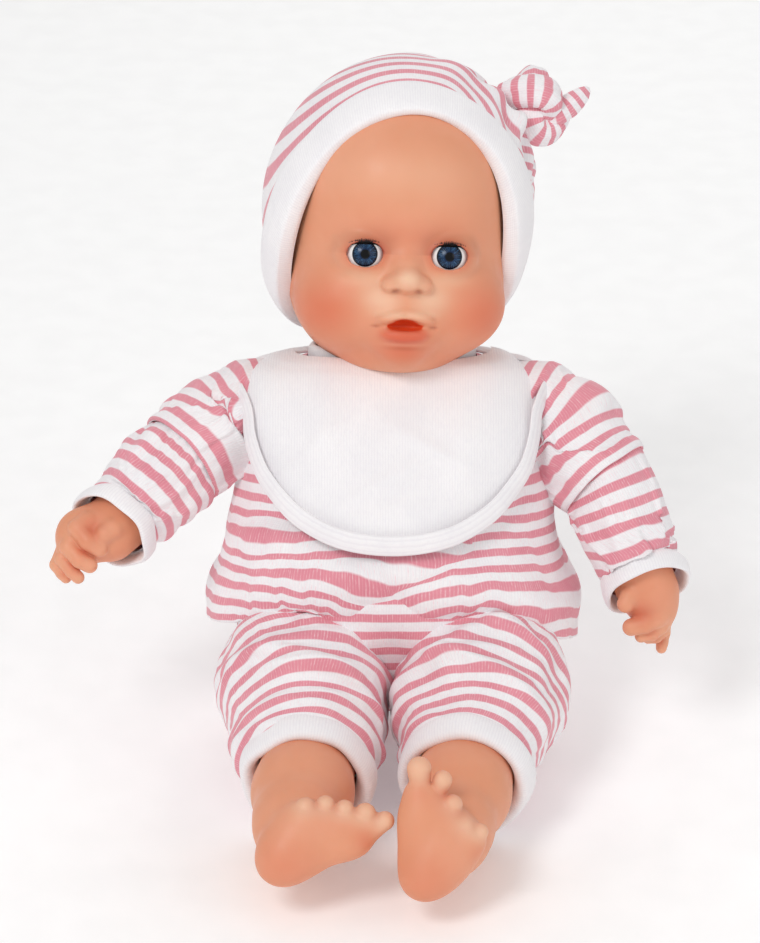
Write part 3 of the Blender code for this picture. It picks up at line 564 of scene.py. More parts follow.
def build_head(vinyl):
    p, quads = head_field().mesh()
    x, y, z = p.T
    side = np.abs(x)
    q = np.column_stack([side, y, z])
    front, brow, muzzle = step01(-y, 2.4, 3.6), z - EYE_AT[2], step01(-y, 4.2, 4.4)
    ring = np.hypot((side - EYE_AT[0]) / EYE_SLIT[0], brow / EYE_SLIT[1])
    # Rouge on the cheeks, chin, nose and lips, mixed with painted shade round the eyes, in the creases beside the
    # nose, under the jaw and at the sides of the head.
    blush = 0.35 * bell(ring - 1.05, 0.35) * front + spots(
        q, (0.66, (2.7, -3.2, -2.75), (1.2, 2.0, 1.05)), (0.55, (0, -4.2, -4.2), (1.0, 2, 0.5)),
        (0.20, (0, -5.2, -2.12), (0.75, 0.6, 0.16)), (0.30, (0, -4.6, -3.62), (1.25, 0.9, 0.42)),
        (0.15, (0.78, -4.6, -1.95), (0.12, 0.8, 0.28)))
    blush += spots(q, (0.22, (0, -4.3, -0.1), (2.2, 2.0, 0.7))) * front
    blush += 0.30 * step01(-z, 3.5, 4.7) * step01(side, 0.4, 2.0)
    blush += 0.25 * step01(side, 3.4, 4.1) * step01(-z, 0.4, 2.4)
    # Painted highlights on raised parts: beside and on the upper lip, the nose tip, the upper cheeks, the forehead
    # and below the lower lip.
    pale = spots(
        q, (0.8, (0.85, -4.4, -2.3), (0.75, 1.2, 0.5)), (0.85, (0, -5.2, -1.55), (0.42, 0.8, 0.42)),
        (0.4, (1.5, -4.2, -1.6), (0.9, 1.2, 0.3)), (0.25, (0, -4.4, 2.0), (2.4, 2.2, 0.9)),
        (0.60, (0.42, -4.85, -2.84), (0.6, 0.6, 0.14)), (0.8, (0, -4.6, -3.90), (0.62, 0.7, 0.06)))
    # painted shade: the lid's edge, the hollow above the eye, nostrils, under the lip, corners of the mouth
    deep = (0.70 * bell(ring - 1.0, 0.10) * step01(brow, -0.1, 0.2) + 0.30 * bell(ring - 1.0, 0.09)) * front
    hollow = bell(np.clip((brow - 0.36) / 0.75, 0, 3), 0.55) * (brow > 0)
    deep += 0.42 * hollow * bell(side - EYE_AT[0] + 0.12, 0.75) * front * step01(ring, 0.95, 1.1)
    deep += spots(q, (0.12, (0.75, -4.2, -0.55), (0.35, 1.2, 0.5))) * front
    deep += spots(
        q, (0.60, (0.41, -4.95, -2.04), (0.16, 0.6, 0.09)), (0.30, (0, -4.6, -4.04), (0.62, 0.7, 0.08)),
        (0.35, (1.0, -4.5, -3.28), (0.16, 0.6, 0.05)), (0.25, (0, -4.75, -3.38), (0.62, 0.9, 0.05)))
    lower = 0.68 * step01(1.25 - np.hypot(x / 0.90, (z + 3.56) / 0.33), 0.0, 0.7)
    upper = bell(z + 3.10 - 0.06 * np.cos(side * 3.6), 0.06) * step01(0.75 - side, 0.0, 0.4)
    pocket = np.hypot(x / 0.6, (z + 3.22) / 0.32) < 1.05
    inside = pocket * step01(y, -4.72, -4.52) * (y < -3.5)
    obj = new_mesh("head_vinyl", p, quads, vinyl, HEAD)
    skin_masks(obj, blush=blush, pale=pale, deep=deep, lip=(lower + 0.4 * upper) * muzzle, inside=inside)
    declare(obj, "head", "vinyl", "head_shell", "mouth_liner")


def eyeball_mesh(name, acrylic, m):
    """A ball with a clear bulge at the front, its rings closed by a flat face at either end."""
    rows, cols, radius, bulge, reach = 96, 96, 0.95, 0.045, 0.55
    polar = np.pi * np.arange(rows)[:, None] / (rows - 1)
    turn = 2 * np.pi * np.arange(cols)[None] / cols
    r = radius + bulge * np.clip(1 - (polar / reach) ** 2, 0, 1) ** 2
    s = r * np.maximum(np.sin(polar), 0.001)
    points = np.stack([s * np.cos(turn), -r * np.cos(polar) + 0 * turn, s * np.sin(turn)], axis=2)
    points = points.reshape(-1, 3)
    last = (rows - 1) * cols
    faces = grid_faces(rows, cols) + [tuple(range(cols)), tuple(range(last + cols - 1, last - 1, -1))]
    ball = new_mesh(name, points, faces, acrylic, m)
    store(ball, "eye", points)
    return ball


def lash_mesh(name, hair, m, seed, count=56, joints=6):
    """Tapered hairs rooted along the lid line and curving upwards."""
    rng = np.random.default_rng(seed)
    corners = np.array([(1, 0, 0), (0, 0.3, 1), (-1, 0, 0), (0, -0.3, -1)])
    hair_faces = grid_faces(joints, 4) + [(0, 3, 2, 1), (20, 21, 22, 23)]
    t = np.linspace(0, 1, joints)
    points, faces = [], []
    for h in range(count):
        x = -0.55 + 1.10 * (h + 0.5) / count + rng.uniform(-0.008, 0.008)
        up = 0.40 * math.sqrt(max(1 - (x / 0.72) ** 2, 0.05))
        fan = x * 0.40 + rng.uniform(-0.05, 0.05)
        length = 0.17 + 0.07 * rng.random() - 0.08 * abs(x)
        root = -math.sqrt(0.94**2 - x * x - up * up)
        rise = 0.75 * t * t - 0.05 * t
        line = np.column_stack([x + fan * length * t, root - length * (t - 0.25 * t * t), up + length * rise])
        points += (line[:, None] + corners * (0.025 * (1 - 0.85 * t))[:, None, None]).reshape(-1, 3).tolist()
        faces += [tuple(4 * joints * h + i for i in face) for face in hair_faces]
    return new_mesh(name, points, faces, hair, m, smooth=False)


def build_eyes(acrylic, hair):
    for k, name in SIDES.items():
        m = HEAD @ Matrix.Translation((k * EYE_AT[0], EYE_AT[1], EYE_AT[2]))
        ball = eyeball_mesh(f"eye_{name}", acrylic, m)
        declare(ball, f"eye_{name}", "iris", f"eyeball_{name}", f"iris_{name}")
        lash = lash_mesh(f"lashes_{name}", hair, m, 5 + k)
        declare(lash, f"eye_{name}", "lash", f"eyelash_{name}")


# ------------------------------------------------------------------ hands and feet
VIEW_TILT = math.radians(25)
# From the wrist, in the frame of facing(): each finger is a chain of four points and a radius.
HANDS = {
    -1: {
        "palm": [((-0.72, 0.02, 0.25), (1.02, 0.86, 0.80)), ((-1.0, -0.35, 0.25), (0.85, 0.85, 0.62))],
        "fingers": [
            [(-0.70, 0.32, 0.80), (-1.02, 0.10, 0.98), (-0.66, -0.34, 1.10), (-0.26, -0.60, 1.00), 0.36],
            [(-1.10, 0.05, 0.60), (-1.38, -0.55, 0.80), (-0.98, -1.00, 0.92), (-0.62, -1.20, 0.86), 0.33],
            [(-1.40, -0.20, 0.25), (-1.64, -0.98, 0.45), (-1.28, -1.42, 0.55), (-1.06, -1.64, 0.52), 0.27],
            [(-1.60, -0.50, -0.05), (-1.88, -1.20, 0.10), (-1.66, -1.50, 0.20), (-1.52, -1.66, 0.20), 0.24],
        ],
        "thumb": [(0.45, 0.30, 0.62), (0.20, 0.10, 0.98), (-0.06, -0.08, 1.12), 0.37],
    },
    1: {
        "palm": [((0.22, -0.30, -0.10), (0.80, 0.98, 0.76)), ((0.32, -0.80, -0.15), (0.66, 0.72, 0.60))],
        "fingers": [
            [(0.50, -0.55, 0.20), (0.34, -0.98, 0.36), (-0.10, -1.22, 0.42), (-0.60, -1.34, 0.36), 0.37],
            [(0.62, -0.85, -0.10), (0.48, -1.34, 0.02), (0.15, -1.60, 0.08), (-0.22, -1.68, 0.06), 0.27],
            [(0.74, -1.00, -0.40), (0.60, -1.48, -0.28), (0.34, -1.72, -0.20), (0.05, -1.76, -0.20), 0.24],
            [(0.72, -1.00, -0.62), (0.66, -1.60, -0.66), (0.60, -1.95, -0.66), (0.57, -2.14, -0.66), 0.235],
        ],
        "thumb": [(-0.30, 0.10, 0.45), (-0.66, -0.20, 0.70), (-0.82, -0.48, 0.78), 0.36],
    },
}
# From the ankle: lumps of the sole (centre, radii, turn), the ridge under the toes and each toe
# (centre, the way back into the foot, radius).
FEET = {
    -1: {
        "sole": [
            ((-0.36, -0.46, 0.40), (0.86, 0.84, 0.78), 0.0), ((0.70, 0.22, 0.36), (1.50, 0.98, 0.62), 0.25),
            ((1.95, 0.40, 0.36), (0.86, 0.78, 0.52), 0.2), ((0.35, 0.72, 0.36), (0.80, 0.66, 0.54), 0.0),
        ],
        "ridge": ((0.45, 1.02, 0.34), (2.75, 0.80, 0.34), 0.42),
        "toes": [
            ((3.12, 0.92, 0.50), (-0.45, -0.42), 0.33), ((2.46, 1.16, 0.52), (-0.10, -0.35), 0.37),
            ((1.76, 1.30, 0.52), (-0.02, -0.30), 0.335), ((1.12, 1.46, 0.50), (0.0, -0.28), 0.325),
            ((0.46, 1.36, 0.46), (0.06, -0.18), 0.35),
        ],
    },
    1: {
        "sole": [
            ((-0.55, -0.68, 0.42), (0.86, 0.84, 0.80), 0.0), ((-0.28, 0.42, 0.38), (1.16, 1.50, 0.62), 0.0),
            ((-0.76, 1.45, 0.36), (0.66, 0.95, 0.54), 0.0), ((0.42, 0.42, 0.36), (0.92, 0.80, 0.52), 0.5),
        ],
        "ridge": ((-0.72, 2.20, 0.36), (1.02, 0.55, 0.34), 0.42),
        "toes": [
            ((-0.74, 2.96, 0.52), (0.02, -0.50), 0.42), ((0.04, 2.58, 0.50), (-0.12, -0.42), 0.33),
            ((0.37, 1.76, 0.56), (-0.14, -0.16), 0.35), ((0.76, 1.06, 0.56), (-0.16, -0.12), 0.33),
            ((1.30, 0.84, 0.48), (-0.14, -0.36), 0.29),
        ],
    },
}


def facing(origin):
    """Frame whose x is to the right, y up and z towards someone looking down on the doll at VIEW_TILT."""
    c, s = math.cos(VIEW_TILT), math.sin(VIEW_TILT)
    m = Matrix(((1, 0, 0), (0, s, -c), (0, c, s))).to_4x4()
    m.translation = Vector(origin)
    return m


def build_hand(side, vinyl):
    m = facing(WRIST[side])
    spec = HANDS[side]
    elbow = np.array(m.inverted() @ Vector(ELBOW[side]))
    d = unit(-elbow)
    box = (np.minimum(elbow - 1.7, (-2.5, -2.7, -1.6)), np.maximum(elbow + 1.7, (2.2, 1.7, 1.9)), 0.05)
    f = Field(*box)
    f.d = f.capsule(elbow + d * 0.6, elbow + d * 2.0, 1.12, 1.30)
    f.rod(elbow + d * 2.0, (0, 0, 0), 1.28, 1.10, 0.2)
    for centre, radii in spec["palm"]:
        f.bulge(centre, radii, 0.45)
    fingers, thumb = spec["fingers"], spec["thumb"]
    fist = Field(*box)
    for *chain, r in fingers:
        finger = Field(*box)
        for k in range(3):
            finger.rod(chain[k], chain[k + 1], r * (1.04 - 0.06 * k), r * (0.98 - 0.06 * k), 0.06)
        fist.add(finger.d, 0.05)
    f.add(fist.d, 0.13)
    finger = Field(*box)
    finger.rod(thumb[0], thumb[1], thumb[3] * 1.15, thumb[3], 0.05)
    finger.rod(thumb[1], thumb[2], thumb[3], thumb[3] * 0.9, 0.05)
    f.add(finger.d, 0.16)
    p, quads = f.mesh()
    tips = sum(blob(p, c[3], 0.42) for c in fingers) + blob(p, thumb[2], 0.45)
    knuckles = sum(blob(p, c[1], 0.42) for c in fingers)
    creases = sum(blob(p, (np.array(a[2]) + b[2]) / 2, 0.26) for a, b in zip(fingers, fingers[1:]))
    hollow = blob(p, (np.array(thumb[2]) + fingers[0][1]) / 2, 0.45)
    arm = blob(p, (0, 0, 0), 1.5)
    obj = new_mesh(f"hand_{SIDES[side]}", p, quads, vinyl, m)
    # Painted highlights on fingertips and knuckles; painted shade in the creases between fingers and in the hollow
    # by the thumb; a rosy tint round the wrist.
    skin_masks(obj, pale=0.22 * tips + 0.18 * knuckles, blush=0.42 * creases + 0.5 * hollow + 0.18 * arm,
               deep=0.12 * hollow)
    declare(obj, f"forearm_{SIDES[side]}", "vinyl", f"forearm_hand_{SIDES[side]}")


def build_foot(side, vinyl):
    m = facing(ANKLE[side])
    spec = FEET[side]
    knee = np.array(m.inverted() @ Vector(KNEE[side]))
    d = unit(-knee)
    run = np.linalg.norm(knee)
    f = Field(np.minimum(knee - 2.6, (-2.2, -1.9, -1.9)), np.maximum(knee + 1.9, (3.8, 3.7, 1.6)), 0.055)
    f.d = f.capsule(knee - d * 0.9, knee + d * 0.2, 1.0, 1.0)
    calf = f.capsule(knee + d * 0.55, knee + d * (run - 1.3), 1.68, 1.46)
    f.add(np.maximum(calf, -(sum((f.p[k] - knee[k]) * d[k] for k in range(3)) + 0.42)), 0.05)
    f.bulge(knee + d * 2.0, (1.78, 1.74, 1.8), 0.4)
    f.rod(knee + d * (run - 1.6), (0, 0, 0.05), 1.40, 1.10, 0.5)
    for centre, radii, turn in spec["sole"]:
        f.bulge(centre, radii, 0.55, Matrix.Rotation(turn, 4, "Z"))
    a, b, r = spec["ridge"]
    f.rod(a, b, r, r, 0.4)
    toes = [(np.array(c), np.array((*back, 0)), r) for c, back, r in spec["toes"]]
    for c, back, r in toes:
        f.rod(c, c + back + (0, 0, -0.12), r, r * 0.82, 0.07)
    p, quads = f.mesh()
    tips = sum(blob(p, c + (0, 0, 0.2), r * 1.25) for c, _, r in toes)
    gaps = sum(blob(p, (a[0] + b[0]) / 2 + (0, 0, 0.05), 0.30) for a, b in zip(toes, toes[1:]))
    under = sum(blob(p, c + back * (1.5, 1.7, 0) + (0, 0, 0.1), 0.36) for c, back, _ in toes)
    heel = blob(p, np.array(spec["sole"][0][0]) + (0.1, -0.1, 0.5), 1.1)
    top = bell(p @ d + run - 0.4, 1.0)
    obj = new_mesh(f"foot_{SIDES[side]}", p, quads, vinyl, m)
    # Painted highlights on the toe tips; painted shade between and under the toes; a rosy tint on the heel and at
    # the top of the leg.
    skin_masks(obj, pale=0.75 * tips, blush=0.30 * (gaps + heel + top) + 0.28 * under, deep=0.10 * gaps)
    declare(obj, f"lower_leg_{SIDES[side]}", "vinyl", f"lower_leg_foot_{SIDES[side]}")


# ------------------------------------------------------------------ cloth: shapes
# Rows of the stuffed torso and of the pyjama top: height, half width, half depth, middle's distance back.
BODY = [
    (-1.2, 3.2, 2.6, 1.6), (0.2, 4.5, 3.8, 1.1), (1.6, 5.2, 4.3, 0.8), (3.6, 5.4, 4.5, 0.4),
    (6.0, 5.3, 4.5, 0.1), (8.0, 5.1, 4.4, 0.0), (10.0, 4.9, 4.1, 0.0), (12.0, 4.8, 3.8, 0.1),
    (13.1, 4.3, 3.3, 0.2), (13.9, 3.2, 2.7, 0.3), (14.3, 2.1, 2.1, 0.3),
]
TOP = [
    (4.9, 7.1, 4.75, 0.1), (6.2, 6.95, 5.15, 0.1), (7.6, 6.45, 4.98, 0.0), (9.2, 6.05, 4.65, 0.0),
    (11.0, 5.85, 4.3, 0.05), (12.4, 5.75, 3.95, 0.12), (13.1, 5.6, 3.65, 0.2), (13.7, 5.2, 3.25, 0.28),
    (14.1, 4.6, 2.95, 0.3), (14.4, 3.75, 2.65, 0.3), (14.62, 2.8, 2.45, 0.3),
]
HEM_AT, NECK_AT = 4.9, 14.55
OVAL = 2.3  # how square the ovals are; 2 would be an ellipse
STRIPE_PITCH, RIB_PITCH, COURSE_PITCH = 0.66, 0.098, 0.06


def row_at(table, s):
    rows = np.array(table)
    return [np.interp(s, rows[:, 0], rows[:, k]) for k in range(1, 4)]


def top_row(s):
    """Row of TOP, averaged a little below the neckline so that the garment has no corners."""
    if s >= 14.2:
        return row_at(TOP, s)
    return np.mean([row_at(TOP, s + d) for d in (-0.35, -0.18, 0.0, 0.18, 0.35)], axis=0)


def angles(count):
    return 2 * np.pi * np.arange(count) / count


def oval(t, a, b, power):
    x, y = np.cos(t), np.sin(t)
    return a * np.sign(x) * np.abs(x) ** (2 / power), b * np.sign(y) * np.abs(y) ** (2 / power)


def oval_ring(a, b, y, z, n, power=OVAL):
    """Points evenly spaced round a rounded oval, starting at the back."""
    x, w = oval(np.linspace(0, 2 * np.pi, 721) + np.pi / 2, a, b, power)
    run = np.concatenate([[0], np.cumsum(np.hypot(np.diff(x), np.diff(w)))])
    at = np.linspace(0, run[-1], n + 1)[:-1]
    return np.column_stack([np.interp(at, run, x), y + np.interp(at, run, w), np.full(n, z)]), run[-1]


def path_grid(stations, rows, cols):
    """Rings along a smooth path through (centre, radius) stations; their columns start at the underside."""
    table = np.array([(*centre, radius) for centre, radius in stations], float)
    run = run_along(table[:, :3])
    dense = spread(np.linspace(0, run[-1], 400), run, table)
    ends = 2 * dense[:1] - dense[40:0:-1], 2 * dense[-1:] - dense[-2:-42:-1]
    dense = blurred(np.concatenate([ends[0], dense, ends[1]]), 81)
    run = run_along(dense[:, :3])
    at = np.linspace(0, run[-1], rows)
    line = spread(at, run, dense)
    tangent = np.gradient(line[:, :3], axis=0)
    a = angles(cols)
    grid = np.zeros((rows, cols, 3))
    for i in range(rows):
        f = mat_np(frame_at(line[i, :3], tangent[i], (0, 0.5, 1)))
        ring = np.column_stack([-line[i, 3] * np.cos(a), -line[i, 3] * np.sin(a), np.zeros(cols)])
        grid[i] = ring @ f[:3, :3].T + f[:3, 3]
    return grid, at, line[:, 3] * 2 * np.pi


def grid_normals(grid):
    n = np.cross(np.roll(grid, -1, 1) - np.roll(grid, 1, 1), np.gradient(grid, axis=0))
    n /= np.maximum(np.linalg.norm(n, axis=2, keepdims=True), 1e-9)
    outward = grid - grid.mean(1, keepdims=True)
    return -n if (n * outward).sum() < 0 else n


def pushed(grid, amount):
    """A grid moved along its own normals."""
    return grid + grid_normals(grid) * amount[..., None]


def girths(grid):
    return np.linalg.norm(np.roll(grid, -1, 1) - grid, axis=2).sum(1)


def waves(grid, rng, count, spread_of_k):
    """Sum of smooth waves in random directions."""
    total = np.zeros(grid.shape[:2])
    for _ in range(count):
        k = rng.normal(0, spread_of_k, 3)
        total += np.sin(grid @ k + rng.uniform(0, 6.28))
    return total


def ripple(grid, amount, seed, scale=1.6):
    """Push a grid in and out by a smooth, seeded unevenness that starts its folds."""
    rng = np.random.default_rng(seed)
    push = np.zeros(grid.shape[:2])
    for i in range(14):
        long = i < 7
        k = rng.normal(0, 1.0, 3) * 2 * np.pi / (scale * (1.8 if long else 0.8)) / 2
        push += np.sin(grid @ k + rng.uniform(0, 6.28)) * (1.3 if long else 0.6)
    row = np.arange(len(push))
    ends = np.clip(np.minimum(row, row[::-1]) / 3.0, 0, 1)
    return pushed(grid, push / 5 * ends[:, None] * amount)


def folds(grid, at, seed, count, amount, width, low, high):
    """Short creases at random places across a tube."""
    rng = np.random.default_rng(seed)
    a = angles(grid.shape[1])
    girth = girths(grid).mean()
    push = np.zeros(grid.shape[:2])
    for _ in range(count):
        centre, height = rng.uniform(0, 2 * np.pi), rng.uniform(low, high) * at[-1]
        slope, bend, reach = rng.normal(0, 0.28), rng.normal(0, 0.05), rng.uniform(0.4, 1.0)
        turn = (a - centre + np.pi) % (2 * np.pi) - np.pi
        arc = turn * girth / (2 * np.pi)
        off = at[:, None] - (height + slope * arc + bend * arc**2)[None, :]
        push += amount * rng.uniform(0.5, 1.1) * bell(off, width) * bell(turn, reach)[None, :]
    return pushed(grid, push - push.mean())


def straight_rest(at, girth, cols, wide, tall):
    """The cloth laid out as a plain tube: rings by circumference, rows by length, both with some fullness."""
    r = np.asarray(girth) / (2 * np.pi) * wide
    a = angles(cols)
    along = np.repeat(np.asarray(at) * tall, cols).reshape(-1, cols)
    return np.stack([r[:, None] * np.cos(a), r[:, None] * np.sin(a), along], axis=2)


def top_shape():
    rows, cols = 40, 132
    heights = [HEM_AT + (NECK_AT - HEM_AT) * (i / (rows - 1)) for i in range(rows)]
    rings = [oval_ring(*top_row(s), s, cols) for s in heights]
    grid, lengths = np.array([ring for ring, _ in rings]), [length for _, length in rings]
    # the hem is lifted by the thighs, dips between them and hangs lower on the left
    fall = np.clip(1 - np.arange(rows) / 12.0, 0, 1)[:, None] ** 1.5
    ahead = np.clip(-grid[..., 1] / 4.0, 0, 1) ** 1.5 * fall
    x = grid[..., 0]
    grid[..., 2] += ahead * (0.35 + 0.55 * bell(np.abs(x) - 3.2, 1.7) - 0.45 * bell(x, 1.2))
    grid[..., 1] += ahead * 0.9 * bell(x, 1.2)
    grid[..., 2] -= 0.75 * np.maximum(x / 7.0, 0) ** 2 * fall
    grid = grid[::-1]
    at = np.concatenate([[0], np.cumsum(np.linalg.norm(np.diff(grid, axis=0), axis=2).mean(1))])
    return grid @ mat_np(TORSO)[:3, :3].T, at, np.array(lengths[::-1])


def sleeve_shape(side):
    s, e, along = ray(SHOULDER[side], ELBOW[side])
    out = np.array((side, 0, 0))
    stations = [
        (s - out * 1.5 + (0, 0.5, 0.25), 1.75), (s - out * 0.3 + (0, 0.1, -0.05), 2.1),
        (s + out * 0.8 + (0, -0.35, -0.45), 2.18), (e - along * 0.9, 2.06), (e - along * 0.05, 1.88),
    ]
    return path_grid(stations, 26, 56)


def cuff_axis(side):
    """Middle and direction of a sleeve cuff, which stands a little open towards the front."""
    _, w, d = ray(ELBOW[side], WRIST[side])
    return w - d * 0.32, unit(d + (0.42 if side == 1 else 0.30) * np.array((0, -0.906, 0.423)))


def lower_sleeve_shape(side):
    e, w, d = ray(ELBOW[side], WRIST[side])
    back = ray(ELBOW[side], SHOULDER[side])[2]
    middle, axis = cuff_axis(side)
    halfway = e + d * np.linalg.norm(w - e) * 0.5
    stations = [
        (e + back * 0.9, 1.5), (e + back * 0.2, 1.7), (e + d * 0.6, 1.84), (halfway, 1.80),
        (middle - axis * 0.5, 1.50), (middle - axis * 0.12, 1.30),
    ]
    return path_grid(stations, 30, 52)


def leg_shape(side):
    """A trouser leg from inside the hip to its cuff on the calf."""
    h, k, d = ray(HIP[side], KNEE[side])
    shin = ray(KNEE[side], ANKLE[side])[2]
    # distance past the hip, towards the other leg, upwards, and radius
    thigh = (
        (-2.2, 0, 0.9, 1.8), (-1.4, 0, 0.7, 2.6), (-0.2, 0, 0.55, 3.12), (1.0, 0.15, 0.48, 3.15),
        (2.2, 0.16, 0.28, 2.98),
    )
    stations = [(h + d * run + (-side * inner, 0, up), r) for run, inner, up, r in thigh]
    stations.append((k - d * 1.1 + (-side * 0.08, 0, 0.08), 2.66))
    stations += [(k + shin * 0.1, 2.34), (k + shin * 0.75, 2.14)]
    return path_grid(stations, 36, 76)


def core_of(grid, inset):
    """A closed, slightly smaller copy of a grid, for the cloth to lie on."""
    inner = grid - grid_normals(grid) * inset
    rows, cols = grid.shape[:2]
    points = np.concatenate([inner.reshape(-1, 3), inner[0].mean(0)[None], inner[-1].mean(0)[None]])
    n = rows * cols
    faces = grid_faces(rows, cols)
    faces += [(n, (j + 1) % cols, j) for j in range(cols)]
    faces += [(n + 1, n - cols + j, n - cols + (j + 1) % cols) for j in range(cols)]
    return points, faces


# ------------------------------------------------------------------ cloth: simulation
SIM = 0.1  # the cloth is simulated at ten times its size, where Blender's cloth behaves best
FRAMES = 28
SINK = 0.24  # the cloth may sink this far below the shape it started from
JERSEY = {
    "quality": 6, "mass": 0.12, "air_damping": 2.5, "vertex_group_mass": "pin",
    "tension_stiffness": 12, "compression_stiffness": 12, "shear_stiffness": 4,
    "tension_damping": 4, "compression_damping": 4, "shear_damping": 4, "bending_damping": 0.6,
}
SOLID = {"thickness_outer": 0.006, "thickness_inner": 0.1, "cloth_friction": 8.0}


def sim_job(name, shape, rippling, creases, inset, fullness, pin, cap, bend=0.25, gravity=0.05):
    """One garment for simulate(): creased grid, core to lie on, rest shape and how firmly rows are held."""
    grid, at, girth = shape
    return {
        "name": name, "grid": folds(ripple(grid, *rippling), at, *creases), "core": core_of(grid, inset),
        "rest": straight_rest(at, girth, grid.shape[1], *fullness), "pin": pin(at / at[-1]), "cap": cap,
        "bend": bend, "gravity": gravity,
    }


def sim_mesh(name, points, faces):
    mesh = bpy.data.meshes.new(name)
    mesh.from_pydata((np.asarray(points).reshape(-1, 3) * SIM).tolist(), [], faces)
    return bpy.data.objects.new(name, mesh)


def add_core(job):
    """The solid under a garment, in a collection of its own."""
    col = bpy.data.collections.new("core_" + job["name"])
    bpy.context.scene.collection.children.link(col)
    core = sim_mesh("core", *job["core"])
    col.objects.link(core)
    core.modifiers.new("solid", "COLLISION")
    for key, value in SOLID.items():
        setattr(core.collision, key, value)
    return col, core


def add_garment(job, col):
    rows, cols = job["grid"].shape[:2]
    obj = sim_mesh("sim_" + job["name"], job["grid"], grid_faces(rows, cols))
    bpy.context.scene.collection.objects.link(obj)
    obj.shape_key_add(name="Basis")
    key = obj.shape_key_add(name="rest")
    key.data.foreach_set("co", (job["rest"].reshape(-1, 3) * SIM).astype(np.float32).ravel())
    group = obj.vertex_groups.new(name="pin")
    weights = np.repeat(job["pin"], cols)
    for w in np.unique(weights[weights > 0]):
        group.add(np.nonzero(weights == w)[0].tolist(), float(w), "REPLACE")
    mod = obj.modifiers.new("cloth", "CLOTH")
    for name, value in JERSEY.items():
        setattr(mod.settings, name, value)
    mod.settings.bending_stiffness = job["bend"]
    mod.settings.rest_shape_key = key
    mod.settings.effector_weights.gravity = job["gravity"]
    mod.collision_settings.distance_min = 0.008
    mod.collision_settings.collision_quality = 3
    mod.collision_settings.collection = col
    mod.point_cache.frame_start, mod.point_cache.frame_end = 1, FRAMES
    return obj


def simulate(jobs):
    """Runs Blender's cloth on every job together and returns each one's new grid."""
    scene = bpy.context.scene
    scene.frame_start, scene.frame_end = 1, FRAMES
    cores = [add_core(job) for job in jobs]
    made = [add_garment(job, col) for job, (col, _) in zip(jobs, cores)]
    for f in range(1, FRAMES + 1):
        scene.frame_set(f)
    graph = bpy.context.evaluated_depsgraph_get()
    results = {}
    for job, obj in zip(jobs, made):
        mesh, grid = obj.evaluated_get(graph).data, job["grid"]
        co = np.zeros(len(mesh.vertices) * 3, np.float32)
        mesh.vertices.foreach_get("co", co)
        move = co.reshape(grid.shape).astype(float) / SIM - grid
        normals = grid_normals(grid)
        move = move - normals * np.minimum((move * normals).sum(2, keepdims=True) + SINK, 0)
        far = np.linalg.norm(move, axis=2, keepdims=True)
        results[job["name"]] = grid + move * np.minimum(1, job["cap"] / np.maximum(far, 1e-9))
    for obj in made + [core for _, core in cores]:
        bpy.data.objects.remove(obj)
    for col, _ in cores:
        bpy.data.collections.remove(col)
    scene.frame_set(1)
    return results


# ------------------------------------------------------------------ cloth: finishing
def refine(grid, fr, fc, wrap=True):
    """Smooth upsampling of a grid: cubic through its points, fr times as many rows, fc times as many columns."""
    def along(a, times, closed):
        n = a.shape[0]
        t = np.arange(n * times) / times if closed else np.linspace(0, n - 1, (n - 1) * times + 1)
        i = np.floor(t).astype(int)
        w = (t - i).reshape((-1,) + (1,) * (a.ndim - 1))
        p0, p1, p2, p3 = (a[(i + k) % n if closed else np.clip(i + k, 0, n - 1)] for k in (-1, 0, 1, 2))
        return p1 + 0.5 * w * (p2 - p0 + w * (2 * p0 - 5 * p1 + 4 * p2 - p3 + w * (3 * (p1 - p2) + p3 - p0)))

    return np.swapaxes(along(np.swapaxes(along(grid, fr, False), 0, 1), fc, wrap), 0, 1)


def cloth_mesh(name, grid, v, u, mat, m=Matrix.Identity(4), wrap=True):
    """Mesh of a grid whose corners carry the cloth's own centimetres: u across, v along.

    u is the whole width of a closed grid, or a value for every point of an open one."""
    rows, cols = grid.shape[:2]
    obj = new_mesh(name, grid.reshape(-1, 3), grid_faces(rows, cols, wrap), mat, m)
    mesh = obj.data
    loops = np.zeros(len(mesh.loops), int)
    mesh.loops.foreach_get("vertex_index", loops)
    r, c = divmod(loops.reshape(-1, 4), cols)
    corner = np.zeros((len(r), 4, 3), np.float32)
    if wrap:
        seam = (c.max(1) == cols - 1) & (c.min(1) == 0)
        corner[..., 0] = np.where(seam[:, None] & (c == 0), u, (np.arange(cols) / cols * u)[c])
    else:
        corner[..., 0] = u[r, c]
    v = np.asarray(v)
    corner[..., 1] = v[r] if v.ndim == 1 else v[r, c]
    mesh.attributes.new("cloth", "FLOAT_VECTOR", "CORNER").data.foreach_set("vector", corner.ravel())
    return obj


def tube_area(grid):
    """Mean girth and length of a tube of cloth, in metres."""
    length = np.linalg.norm(np.diff(grid, axis=0), axis=2).sum(0)
    return round(float(girths(grid).mean()) * CM, 3), round(float(length.mean()) * CM, 3)


def turned_in(grid, depth, inward=0.16):
    """Adds a turned-in hem below the last row."""
    towards = unit(grid[-1].mean(0) - grid[-1])
    back = unit(grid[-4] - grid[-1])
    extra = []
    for a in np.linspace(0, np.pi, 6)[1:]:
        extra.append(grid[-1] + towards * inward * (1 - np.cos(a)) / 2 - back * inward * 0.5 * np.sin(a))
    return np.concatenate([grid, np.array(extra + [extra[-1] + back * depth])])


def cloth_tube(node, grid, at, mat, phase, hem=0.0, name=None):
    """Finishes a simulated tube: fine mesh, turned-in hem, cloth coordinates, and hides the node it stands for."""
    grid = refine(grid, 3, 3)
    at = stretch(at, len(grid))
    if hem > 0:
        grid = turned_in(grid, hem)
        at = np.concatenate([at, at[-1] + 0.09 * np.arange(1, len(grid) - len(at) + 1)])
    obj = cloth_mesh(name or f"{node}_cloth", grid, at + phase, tube_area(grid)[0] / CM, mat)
    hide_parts(node)
    return obj


